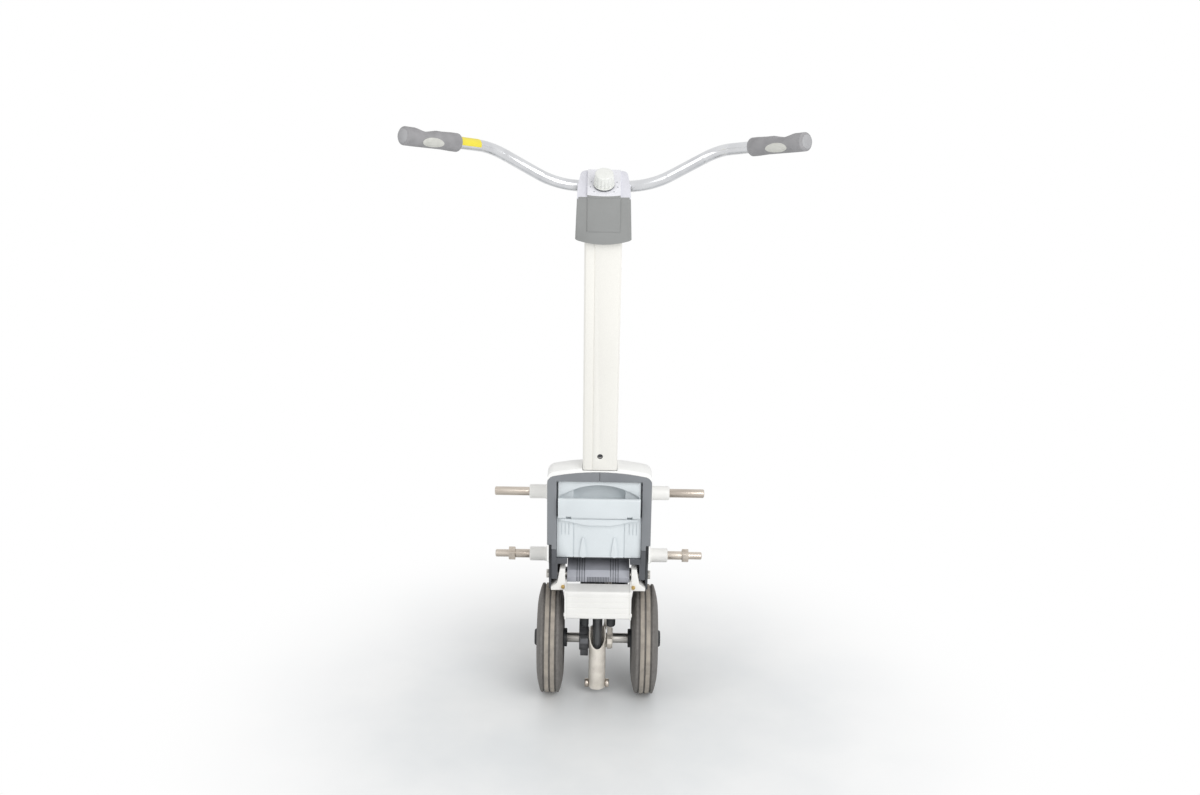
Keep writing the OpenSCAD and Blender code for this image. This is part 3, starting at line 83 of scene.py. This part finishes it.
def clouds(tree, place, size, detail):
    """Noise whose patches have about the given size in metres."""
    noise = tree.nodes.new("ShaderNodeTexNoise")
    noise.inputs["Scale"].default_value = 1 / size
    noise.inputs["Detail"].default_value = detail
    tree.links.new(place, noise.inputs["Vector"])
    return noise.outputs["Fac"]


def tones(tree, value, stops):
    """Colours along a value, from a list of places from 0 to 1 with a colour each."""
    ramp = tree.nodes.new("ShaderNodeValToRGB")
    elements = ramp.color_ramp.elements
    for number, (place, colour) in enumerate(stops):
        element = elements[number] if number < 2 else elements.new(place)
        element.position = place
        element.color = colour
    tree.links.new(value, ramp.inputs["Fac"])
    return ramp.outputs["Color"]


stain_size = 0.2
stain_grey = (0.78, 0.80, 0.81, 1)
stain_pale = (0.86, 0.87, 0.87, 1)
floor_stains = clouds(floor_tree, floor_place, stain_size, detail=8)
floor_tones = tones(floor_tree, floor_stains, [(0.35, stain_grey), (0.65, stain_pale)])
floor_tree.links.new(floor_tones, floor_shader.inputs["Base Color"])


def distance_from(tree, place, point):
    """How far a place on the surface is from a fixed point."""
    span = tree.nodes.new("ShaderNodeVectorMath")
    span.operation = "DISTANCE"
    span.inputs[1].default_value = point
    tree.links.new(place, span.inputs[0])
    return span.outputs["Value"]


def carried(tree, value, low, high, to_low=0.0, to_high=1.0, curve="LINEAR"):
    """A value taken from one range to another and held at its ends."""
    spread = tree.nodes.new("ShaderNodeMapRange")
    spread.interpolation_type = curve
    spread.inputs["From Min"].default_value = low
    spread.inputs["From Max"].default_value = high
    spread.inputs["To Min"].default_value = to_low
    spread.inputs["To Max"].default_value = to_high
    tree.links.new(value, spread.inputs["Value"])
    return spread.outputs["Result"]


def worked_out(tree, operation, *terms):
    """The result of a sum on numbers and on other nodes' results."""
    step = tree.nodes.new("ShaderNodeMath")
    step.operation = operation
    for socket, term in zip(step.inputs, terms):
        if isinstance(term, bpy.types.NodeSocket):
            tree.links.new(term, socket)
        else:
            socket.default_value = term
    return step.outputs["Value"]


def direct_rays(tree):
    """1 for rays from the camera and from gloss, which see a white room, and 0 for all others."""
    ray = tree.nodes.new("ShaderNodeLightPath")
    return worked_out(tree, "MAXIMUM", ray.outputs["Is Camera Ray"], ray.outputs["Is Glossy Ray"])


def whitened(tree, share, surface, white, end):
    """Leads a mix of a surface and plain white to the end of its node tree."""
    mix = tree.nodes.new("ShaderNodeMixShader")
    tree.links.new(share, mix.inputs["Fac"])
    tree.links.new(surface, mix.inputs[1])
    tree.links.new(white, mix.inputs[2])
    tree.links.new(mix.outputs["Shader"], tree.nodes[end].inputs["Surface"])


fade_middle = (0, -0.22, floor_z)
fade_start = 0.12
fade_end = 0.85
floor_away = distance_from(floor_tree, floor_place, fade_middle)
floor_fade = carried(floor_tree, floor_away, fade_start, fade_end, curve="SMOOTHERSTEP")
floor_share = worked_out(floor_tree, "MULTIPLY", floor_fade, direct_rays(floor_tree))
floor_white = floor_tree.nodes.new("ShaderNodeEmission")
floor_white.inputs["Color"].default_value = pure_white
whitened(
    floor_tree, floor_share, surface=floor_shader.outputs["BSDF"], white=floor_white.outputs["Emission"],
    end="Material Output",
)
floor_mesh.materials.append(floor_paint)

world = bpy.data.worlds.new("room")
world.use_nodes = True
sky_tree = world.node_tree
sky = sky_tree.nodes["Background"]
sky.inputs["Color"].default_value = pure_white
sky.inputs["Strength"].default_value = 0.68
sky_white = sky_tree.nodes.new("ShaderNodeBackground")
sky_white.inputs["Color"].default_value = pure_white
whitened(
    sky_tree, direct_rays(sky_tree), surface=sky.outputs["Background"],
    white=sky_white.outputs["Background"], end="World Output",
)
scene.world = world


def soft_lamp(name, place, target, size, watts):
    """A square lamp that faces a target."""
    lamp = bpy.data.lights.new(name, "AREA")
    lamp.size = size
    lamp.energy = watts
    lamp_object = bpy.data.objects.new(name, lamp)
    lamp_object.location = place
    lamp_object.rotation_euler = (Vector(target) - Vector(place)).to_track_quat("-Z", "Y").to_euler()
    scene.collection.objects.link(lamp_object)


soft_lamp("window_lamp", place=(1.4, -2.4, 1.9), target=(0, 0, 0.3), size=1.9, watts=44)
soft_lamp("side_lamp", place=(-2.2, -1.9, 1.2), target=(0, 0, 0.2), size=1.8, watts=14)

camera_tilt = math.radians(71.2)
camera_roll = math.radians(0.86)
camera_data = bpy.data.cameras.new("viewer")
camera_data.lens = 43.5
camera_data.sensor_width = 36
camera_data.shift_x = -0.0008
camera = bpy.data.objects.new("viewer", camera_data)
camera.location = (0, -2.48, 1.155)
camera.rotation_euler = (
    Matrix.Rotation(camera_tilt, 3, "X") @ Matrix.Rotation(camera_roll, 3, "Z")
).to_euler()
scene.collection.objects.link(camera)
scene.camera = camera


# Side plates, tray and pivot tube: cut, folded and drawn steel under a dull dark coat. The plates carry
# the rods, the shafts and the battery's tray, and the coat has the slight orange peel of sprayed paint.
def tint(red, green, blue):
    """A colour as it is read off a screen, turned into the shader's linear values."""
    shares = [channel / 255 for channel in (red, green, blue)]
    linear = [share / 12.92 if share <= 0.04 else ((share + 0.055) / 1.055) ** 2.4 for share in shares]
    return (*linear, 1)


def finish(
    name, colour, shade, roughness, peel, peel_size, patch=0.04, metal=0.0, coat=0.0, stretch=(1, 1, 1)
):
    """A coat that drifts between two tones over patches, with fine specks and a peel in the surface.

    Peel is the depth of its bumps and peel_size their width. Stretch under 1 draws marks out along an axis.
    """
    shade_to, colour_from = 0.3, 0.62
    noise_low, noise_high = 0.3, 0.7
    speck_dark, speck_light = 0.965, 1.015
    rubbed = 0.07
    material = bpy.data.materials.new(name)
    material.use_nodes = True
    tree = material.node_tree
    shader = tree.nodes["Principled BSDF"]
    shader.inputs["Metallic"].default_value = metal
    shader.inputs["Coat Weight"].default_value = coat
    mapping = tree.nodes.new("ShaderNodeMapping")
    mapping.inputs["Scale"].default_value = stretch
    tree.links.new(tree.nodes.new("ShaderNodeTexCoord").outputs["Object"], mapping.inputs["Vector"])
    grain = mapping.outputs["Vector"]
    patches = clouds(tree, grain, patch, detail=6)
    bumps = clouds(tree, grain, peel_size, detail=3)
    specks = carried(tree, bumps, noise_low, noise_high, speck_dark, speck_light)
    speckled = tree.nodes.new("ShaderNodeVectorMath")
    speckled.operation = "SCALE"
    tree.links.new(tones(tree, patches, [(shade_to, shade), (colour_from, colour)]), speckled.inputs[0])
    tree.links.new(specks, speckled.inputs["Scale"])
    tree.links.new(speckled.outputs["Vector"], shader.inputs["Base Color"])
    smoothest = max(0.05, roughness - rubbed)
    roughest = min(1.0, roughness + rubbed)
    wear = carried(tree, patches, noise_low, noise_high, smoothest, roughest)
    tree.links.new(wear, shader.inputs["Roughness"])
    bump = tree.nodes.new("ShaderNodeBump")
    bump.inputs["Strength"].default_value = 0.5
    bump.inputs["Distance"].default_value = peel
    tree.links.new(bumps, bump.inputs["Height"])
    tree.links.new(bump.outputs["Normal"], shader.inputs["Normal"])
    return material


def dress(material, *nodes):
    """Gives nodes that keep their solid a better finish."""
    for node in nodes:
        holder = frame["nodes"][node]
        holder.data.materials.clear()
        holder.data.materials.append(material)


def softened(node, body, material, edge_r):
    """A copy of a node's solid, welded, with rounded edges, that stands for the node."""
    weld = 0.00001
    flat_angle = math.radians(0.6)
    edge_angle = math.radians(32)
    mesh = frame["nodes"][node].data.copy()
    bm = bmesh.new()
    bm.from_mesh(mesh)
    bmesh.ops.remove_doubles(bm, verts=bm.verts, dist=weld)
    bmesh.ops.dissolve_limit(bm, angle_limit=flat_angle, verts=bm.verts, edges=bm.edges)
    for face in bm.faces:
        face.smooth = True
    bm.to_mesh(mesh)
    bm.free()
    mesh.materials.clear()
    mesh.materials.append(material)
    piece = bpy.data.objects.new(node + "_soft", mesh)
    scene.collection.objects.link(piece)
    edge = piece.modifiers.new("edge", "BEVEL")
    edge.width = edge_r
    edge.segments = 3
    edge.limit_method = "ANGLE"
    edge.angle_limit = edge_angle
    edge.use_clamp_overlap = True
    edge.harden_normals = True
    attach(piece, body)
    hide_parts(node)
    return piece


dark_coat = finish(
    "dark_coat", tint(72, 74, 78), tint(56, 58, 61), roughness=0.5, peel=0.00008, peel_size=0.0011
)
softened("side_plates", "frame", dark_coat, edge_r=0.0006)
dress(dark_coat, "battery_tray", "pivot_tube")

# Shafts, axle, bearings, pulleys, gas rod and link: bright steel, turned or cut, whose fine marks run
# from side to side. The cross shaft ends in hexagon heads outside the plates. The mast's post is a
# drawn bar on a foot plate, with its marks along its length.
bright_steel = finish(
    "bright_steel", tint(206, 203, 198), tint(176, 173, 168), roughness=0.34, peel=0.00003,
    peel_size=0.0007, patch=0.02, metal=1.0, stretch=(0.12, 1, 1),
)
softened("cross_shaft", "frame", bright_steel, edge_r=0.0007)
softened("drive_axle", "axle", bright_steel, edge_r=0.0006)
dress(
    bright_steel, "pivot_shaft", "axle_bearings", "driven_pulley", "drive_pulley", "gas_rod", "lift_link"
)
drawn_steel = finish(
    "drawn_steel", tint(202, 201, 198), tint(180, 178, 175), roughness=0.32, peel=0.00002,
    peel_size=0.0006, patch=0.01, metal=1.0, stretch=(1, 1, 0.06),
)
dress(drawn_steel, "mast_post")

# Housing: thin white plastic mouldings for the roof, the sides and the front. They close round the side
# plates and meet at soft edges, and their faces are smooth with a faint moulded grain.
white_moulding = finish(
    "white_moulding", tint(247, 247, 245), tint(242, 242, 240), roughness=0.42, peel=0.00005,
    peel_size=0.0012, patch=0.09,
)
softened("top_cover", "frame", white_moulding, edge_r=0.0012)
softened("side_panels", "frame", white_moulding, edge_r=0.0012)
softened("front_panel", "frame", white_moulding, edge_r=0.0010)

# Bezel halves and sill: a grey plastic moulding, split at the middle of the roof, frames the battery.
# The sill is a darker moulding: two feet that carry the bezel's legs, with a short leg below each.
bezel_moulding = finish(
    "bezel_moulding", tint(132, 135, 139), tint(123, 126, 130), roughness=0.5, peel=0.00006,
    peel_size=0.0009, patch=0.07,
)
softened("left_bezel", "frame", bezel_moulding, edge_r=0.0011)
softened("right_bezel", "frame", bezel_moulding, edge_r=0.0011)
sill_moulding = finish(
    "sill_moulding", tint(86, 88, 93), tint(76, 78, 82), roughness=0.52, peel=0.00006,
    peel_size=0.0009, patch=0.05,
)
softened("battery_sill", "frame", sill_moulding, edge_r=0.0010)

# Socket, guides and battery blocks: black moulded plastic inside the housing, the mast and the case.
# The two bump stops are rubber buffers, fixed under the controller box.
black_moulding = finish(
    "black_moulding", tint(46, 48, 50), tint(37, 39, 41), roughness=0.55, peel=0.00005, peel_size=0.0008
)
dress(black_moulding, "battery_socket", "post_guide", "mast_guide", "battery_blocks")
softened("bump_stops", "frame", black_moulding, edge_r=0.0006)

# Mounting rods: bare turned steel in white painted sleeves that go through the side plates. The
# lower rods carry a hexagon collar before a thinner stud.
white_coat = finish(
    "white_coat", tint(240, 239, 236), tint(234, 233, 230), roughness=0.38, peel=0.00003,
    peel_size=0.0013, patch=0.06,
)
warm_steel = finish(
    "warm_steel", tint(214, 205, 194), tint(178, 168, 157), roughness=0.33, peel=0.00003,
    peel_size=0.0006, patch=0.015, metal=1.0, stretch=(0.15, 1, 1),
)
softened("rod_sleeves", "frame", white_coat, edge_r=0.0008)
softened("mount_rods", "frame", warm_steel, edge_r=0.0006)
softened("rod_collars", "frame", warm_steel, edge_r=0.0008)

# Controller box: a white grooved extrusion between two end plates, hung from cast brackets that are
# held by brass-coloured bolts. The pivot bushes and the battery contacts are brass too.
softened("controller_box", "frame", white_coat, edge_r=0.0005)
softened("controller_end_plates", "frame", white_coat, edge_r=0.0006)
softened("side_brackets", "frame", white_coat, edge_r=0.0010)
brass_plate = finish(
    "brass_plate", tint(206, 176, 112), tint(178, 146, 88), roughness=0.34, peel=0.00003,
    peel_size=0.0006, patch=0.01, metal=1.0,
)
softened("frame_screws", "frame", brass_plate, edge_r=0.0006)
dress(brass_plate, "pivot_bushes", "battery_contacts")

# Swing arm: a dark cast belt case at the left and a light cast arm at the right hold the axle, with
# the motor between them and the spring tube behind. The case holds a black rubber belt.
case_coat = finish(
    "case_coat", tint(98, 99, 102), tint(78, 79, 82), roughness=0.5, peel=0.00012,
    peel_size=0.0014, patch=0.02,
)
softened("belt_case", "swing_arm", case_coat, edge_r=0.0010)
softened("belt_case_cover", "swing_arm", case_coat, edge_r=0.0005)
softened("drive_motor", "swing_arm", dark_coat, edge_r=0.0012)
cast_coat = finish(
    "cast_coat", tint(238, 232, 222), tint(214, 207, 196), roughness=0.46, peel=0.00014,
    peel_size=0.0016, patch=0.018,
)
softened("right_arm", "swing_arm", cast_coat, edge_r=0.0010)
softened("spring_tube", "swing_arm", cast_coat, edge_r=0.0005)
softened("spring_bolt", "swing_arm", warm_steel, edge_r=0.0016)
belt_rubber = finish(
    "belt_rubber", tint(40, 40, 41), tint(30, 30, 31), roughness=0.7, peel=0.00008, peel_size=0.0008
)
dress(belt_rubber, "drive_belt")

# Gas spring: a steel cylinder in dark lacquer with a smooth sheen. It hangs on the cross shaft and goes
# down into the spring tube, where its rod turns on a bolt.
gas_lacquer = finish(
    "gas_lacquer", tint(84, 85, 86), tint(74, 75, 76), roughness=0.26, peel=0.00003,
    peel_size=0.0012, patch=0.03, coat=0.3,
)
softened("gas_spring", "spring_body", gas_lacquer, edge_r=0.0010)

# Wheels: solid grey tyres with three grooves, on dark moulded hubs that sit on the axle's ends under
# caps. The two middle ribs of the tread are worn pale, and the sidewalls are darker in rings at set radii,
# darkest next to the hub.
tyre_rubber = finish(
    "tyre_rubber", tint(116, 113, 110), tint(101, 98, 95), roughness=0.8, peel=0.00014,
    peel_size=0.0014, patch=0.006,
)
joints = {joint["name"]: joint for joint in frame["record"]["behaviour"]["joints"]}
axle_place = joints["axle_spin"]["pos_m"]
tyre_mid_x = 0.086
rib_outside, rib_inside = 0.0098, 0.0086
rib_foot, rib_top = 0.0988, 0.0997
sidewall_inner, sidewall_outer = 0.06, 0.10
scuff_size = 1 / 60
worn_pale = tint(190, 180, 166)
ring_tones = [
    (0.0, 0.62), (0.10, 0.92), (0.15, 0.92), (0.165, 0.68),
    (0.19, 0.98), (0.72, 1.04), (0.735, 0.74), (0.76, 1.0),
]
tyre_tree = tyre_rubber.node_tree
tyre_shader = tyre_tree.nodes["Principled BSDF"]
tyre_base = tyre_shader.inputs["Base Color"].links[0].from_socket
tyre_place = tyre_tree.nodes.new("ShaderNodeTexCoord").outputs["Object"]
tyre_axes = tyre_tree.nodes.new("ShaderNodeSeparateXYZ")
tyre_tree.links.new(tyre_place, tyre_axes.inputs["Vector"])
tyre_side = worked_out(tyre_tree, "ABSOLUTE", tyre_axes.outputs["X"])
tyre_from_mid = worked_out(
    tyre_tree, "ABSOLUTE", worked_out(tyre_tree, "SUBTRACT", tyre_side, tyre_mid_x)
)
tyre_spoke = tyre_tree.nodes.new("ShaderNodeCombineXYZ")
for axis in "YZ":
    tyre_tree.links.new(tyre_axes.outputs[axis], tyre_spoke.inputs[axis])
tyre_radius = distance_from(tyre_tree, tyre_spoke.outputs["Vector"], axle_place)
tyre_rib = carried(tyre_tree, tyre_from_mid, rib_outside, rib_inside)
tyre_top = carried(tyre_tree, tyre_radius, rib_foot, rib_top)
tyre_worn = worked_out(
    tyre_tree, "MULTIPLY",
    worked_out(tyre_tree, "MULTIPLY", tyre_rib, tyre_top),
    clouds(tyre_tree, tyre_place, scuff_size, detail=5),
)
tyre_depth = carried(tyre_tree, tyre_radius, sidewall_inner, sidewall_outer)
tyre_rings = tones(tyre_tree, tyre_depth, [(place, (tone, tone, tone, 1)) for place, tone in ring_tones])
tyre_ringed = tyre_tree.nodes.new("ShaderNodeVectorMath")
tyre_ringed.operation = "MULTIPLY"
tyre_tree.links.new(tyre_base, tyre_ringed.inputs[0])
tyre_tree.links.new(tyre_rings, tyre_ringed.inputs[1])
tyre_mix = tyre_tree.nodes.new("ShaderNodeMix")
tyre_mix.data_type = "RGBA"
tyre_mix.inputs["B"].default_value = worn_pale
tyre_tree.links.new(tyre_worn, tyre_mix.inputs["Factor"])
tyre_tree.links.new(tyre_ringed.outputs["Vector"], tyre_mix.inputs["A"])
tyre_tree.links.new(tyre_mix.outputs["Result"], tyre_shader.inputs["Base Color"])
softened("tyres", "axle", tyre_rubber, edge_r=0.0007)
softened("wheel_hubs", "axle", black_moulding, edge_r=0.0008)
softened("hub_caps", "axle", black_moulding, edge_r=0.0008)

# Pedal: a blue-grey plastic moulding that turns on the cross shaft. Fine grooves run down its tread
# and its skirt, and their walls have a darker tone as painted shade.
pedal_moulding = finish(
    "pedal_moulding", tint(172, 174, 182), tint(160, 162, 170), roughness=0.48, peel=0.00008,
    peel_size=0.001, patch=0.03,
)
groove_painted_shade = finish(
    "groove_painted_shade", tint(136, 138, 144), tint(124, 126, 132), roughness=0.7, peel=0.00006,
    peel_size=0.001, patch=0.02,
)
widest_groove = 0.0018
grooved_half = 0.05
skirt_groove_y = -0.1158
pedal = softened("foot_pedal", "pedal", pedal_moulding, edge_r=0.0004)
# The narrow groove walls get a darker tone: painted shade inside the grooves.
pedal.data.materials.append(groove_painted_shade)
for face in pedal.data.polygons:
    across = [pedal.data.vertices[i].co.x for i in face.vertices]
    narrow = max(across) - min(across) < widest_groove
    if narrow and abs(face.center.x) < grooved_half and face.center.y > skirt_groove_y:
        face.material_index = 1

# Battery: a pale plastic case that slides into the housing from behind. Its front is a moulding of its
# own with a finger pocket, and the handle over the pocket folds out on its pins.
battery_moulding = finish(
    "battery_moulding", tint(220, 226, 229), tint(212, 218, 221), roughness=0.4, peel=0.00005,
    peel_size=0.0011, patch=0.08,
)
dress(battery_moulding, "battery_case")
softened("battery_front", "battery", battery_moulding, edge_r=0.0012)
softened("battery_handle", "battery_grip", battery_moulding, edge_r=0.0015)

# Mast: a painted aluminium extrusion that slides on the post. A dark grommet rings the hole of the
# lock screw near its foot.
mast_coat = finish(
    "mast_coat", tint(240, 238, 232), tint(234, 232, 226), roughness=0.36, peel=0.00004,
    peel_size=0.0010, patch=0.12, stretch=(1, 1, 0.3),
)
softened("mast_tube", "mast", mast_coat, edge_r=0.0008)
dress(dark_coat, "lock_screw")


def turned_ring(name, body, material, outline, middle, direction):
    """A ring or disc spun from an outline of radius and height, about a direction through a point."""
    weld = 0.000001
    bm = bmesh.new()
    points = [bm.verts.new((radius, 0, height)) for radius, height in outline]
    edges = [bm.edges.new((points[i - 1], points[i])) for i in range(len(points))]
    bmesh.ops.spin(
        bm, geom=points + edges, cent=(0, 0, 0), axis=(0, 0, 1), angle=math.tau, steps=48, use_merge=True
    )
    bmesh.ops.remove_doubles(bm, verts=bm.verts, dist=weld)
    bmesh.ops.recalc_face_normals(bm, faces=bm.faces)
    for face in bm.faces:
        face.smooth = True
    turn = Vector(direction).to_track_quat("Z", "Y").to_matrix().to_4x4()
    bm.transform(Matrix.Translation(middle) @ turn)
    mesh = bpy.data.meshes.new(name)
    bm.to_mesh(mesh)
    bm.free()
    mesh.materials.append(material)
    piece = bpy.data.objects.new(name, mesh)
    scene.collection.objects.link(piece)
    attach(piece, body)


mast_lean = math.radians(12)
mast_up = Vector((0, -math.sin(mast_lean), math.cos(mast_lean)))
mast_out = Vector((0, -math.cos(mast_lean), -math.sin(mast_lean)))
mast_foot = Vector((0, -0.10962, 0.220))
mast_half_depth = 0.017
screw_height = 0.032
grommet_bore_r, grommet_r = 0.0031, 0.0048
grommet_sunk, grommet_lip, grommet_top = -0.001, 0.0002, 0.0006
grommet_bevel = 0.0004
turned_ring(
    "lock_grommet", "mast", black_moulding,
    [
        (grommet_bore_r, grommet_sunk), (grommet_r, grommet_sunk), (grommet_r, grommet_lip),
        (grommet_r - grommet_bevel, grommet_top), (grommet_bore_r + grommet_bevel, grommet_top),
        (grommet_bore_r, grommet_lip),
    ],
    mast_foot + mast_up * screw_height + mast_out * mast_half_depth, mast_out,
)

# Control head: a grey two-part plastic moulding over the top of the mast, with a pale cap. The raised
# plate in the middle of the cap is the lightest part and has a ring of plain dots round the knob. The
# cap's shoulders have a lighter tone that is painted light from above, and the plate's rear-facing wall
# has the head's grey as painted shade.
head_moulding = finish(
    "head_moulding", tint(149, 150, 149), tint(142, 143, 142), roughness=0.46, peel=0.00006,
    peel_size=0.0009, patch=0.05,
)
plate_moulding = finish(
    "plate_moulding", tint(232, 232, 237), tint(226, 226, 231), roughness=0.4, peel=0.00004,
    peel_size=0.0008, patch=0.05,
)
shoulder_painted_light = finish(
    "shoulder_painted_light", tint(222, 222, 229), tint(214, 214, 221), roughness=0.42, peel=0.00005,
    peel_size=0.0008, patch=0.05,
)
softened("head_shell", "mast", head_moulding, edge_r=0.0014)
softened("head_cover", "mast", head_moulding, edge_r=0.0011)
knob_foot = Vector(joints["speed_knob_turn"]["pos_m"])
knob_up = Vector(joints["speed_knob_turn"]["axis"])
knob_fore = Vector((0, knob_up.z, -knob_up.y))
plate_half = 0.0262
shoulder_height = 0.0005
facing_rear = -0.7
cap = softened("control_plate", "mast", plate_moulding, edge_r=0.0009)
cap.data.materials.append(shoulder_painted_light)
cap.data.materials.append(head_moulding)
for face in cap.data.polygons:
    beside_plate = abs(face.center.x) > plate_half
    # Faces beside the plate and below it get a lighter tone: painted light from above on the shoulders.
    if beside_plate or (face.center - knob_foot).dot(knob_up) < shoulder_height:
        face.material_index = 1
    # Plate faces that face the rear get the head's grey: painted shade along the plate's edge.
    if abs(face.center.x) < plate_half and face.normal.dot(knob_fore) < facing_rear:
        face.material_index = 2
dot_ink = finish(
    "dot_ink", tint(168, 169, 176), tint(158, 159, 166), roughness=0.5, peel=0.00002, peel_size=0.0006
)
dot_count = 9
dial_turn = math.radians(270)
dial_r = 0.0218
plate_height = 0.004
dot_r = 0.0011
dot_sunk, dot_top = -0.0004, 0.00015
for number in range(dot_count):
    turn = dial_turn * (number / (dot_count - 1) - 0.5)
    aside = Vector((dial_r * math.sin(turn), 0, 0))
    ahead = knob_fore * (dial_r * math.cos(turn))
    turned_ring(
        f"dial_dot_{number + 1}", "mast", dot_ink,
        [(0, dot_sunk), (dot_r, dot_sunk), (dot_r, dot_top), (0, dot_top)],
        knob_foot + aside + ahead + knob_up * plate_height, knob_up,
    )
board_lacquer = finish(
    "board_lacquer", tint(60, 110, 78), tint(48, 92, 64), roughness=0.4, peel=0.00003, peel_size=0.001
)
dress(board_lacquer, "control_board")

# Speed knob: a fluted moulding in pale plastic, whose foot band has a dark tone as painted shade of the
# gap under it. It turns on a stem that goes through the plate, about an axis that leans to the rear with
# the cap.
knob_moulding = finish(
    "knob_moulding", tint(233, 234, 230), tint(224, 225, 221), roughness=0.34, peel=0.00003,
    peel_size=0.0008, patch=0.03,
)
knob_ring_top = 0.0072
knob = softened("speed_knob", "knob", knob_moulding, edge_r=0.0004)
# The band at the knob's foot gets the dark sill colour: painted shade of the gap under the knob.
knob.data.materials.append(sill_moulding)
for face in knob.data.polygons:
    if (face.center - knob_foot).dot(knob_up) < knob_ring_top:
        face.material_index = 1

# Handlebar: a bent silver tube in a clamp, with grey rubber grips. Each grip has a smooth end disc
# and a pale oval inlay, and the marker strip lies on the upper side of the bar at the left.
bar_coat = finish(
    "bar_coat", tint(219, 220, 222), tint(206, 207, 210), roughness=0.18, peel=0.000006,
    peel_size=0.0009, patch=0.03, metal=1.0,
)
softened("handlebar", "mast", bar_coat, edge_r=0.0003)
dress(bar_coat, "bar_clamp")
grip_rubber = finish(
    "grip_rubber", tint(156, 155, 157), tint(142, 141, 143), roughness=0.72, peel=0.00018,
    peel_size=0.0007, patch=0.02,
)
softened("left_grip", "mast", grip_rubber, edge_r=0.0014)
softened("right_grip", "mast", grip_rubber, edge_r=0.0014)
disc_rubber = finish(
    "disc_rubber", tint(168, 168, 170), tint(158, 158, 160), roughness=0.5, peel=0.00008,
    peel_size=0.0009, patch=0.02,
)
grip_end_x, grip_end_y, grip_end_z = 0.29247, -0.37412, 0.83373
grip_run_x, grip_run_y, grip_run_z = 0.6358, -0.7458, 0.1989
disc_r, disc_bevel = 0.0104, 0.0005
disc_sunk, disc_rim, disc_shoulder, disc_crown = -0.0005, 0.0003, 0.0007, 0.0009
disc_outline = [
    (0, disc_sunk), (disc_r, disc_sunk), (disc_r, disc_rim), (disc_r - disc_bevel, disc_shoulder),
    (0, disc_crown),
]
for side, label in ((-1, "left"), (1, "right")):
    turned_ring(
        label + "_grip_disc", "mast", disc_rubber, disc_outline,
        Vector((side * grip_end_x, grip_end_y, grip_end_z)),
        Vector((side * grip_run_x, grip_run_y, grip_run_z)).normalized(),
    )
inlay_silver = finish(
    "inlay_silver", tint(214, 214, 208), tint(202, 202, 196), roughness=0.4, peel=0.00003,
    peel_size=0.0006, patch=0.012, metal=0.3,
)
softened("grip_inlays", "mast", inlay_silver, edge_r=0.0003)
band_vinyl = finish(
    "band_vinyl", tint(238, 222, 70), tint(228, 210, 56), roughness=0.35, peel=0.00002, peel_size=0.001
)
dress(band_vinyl, "marker_band")
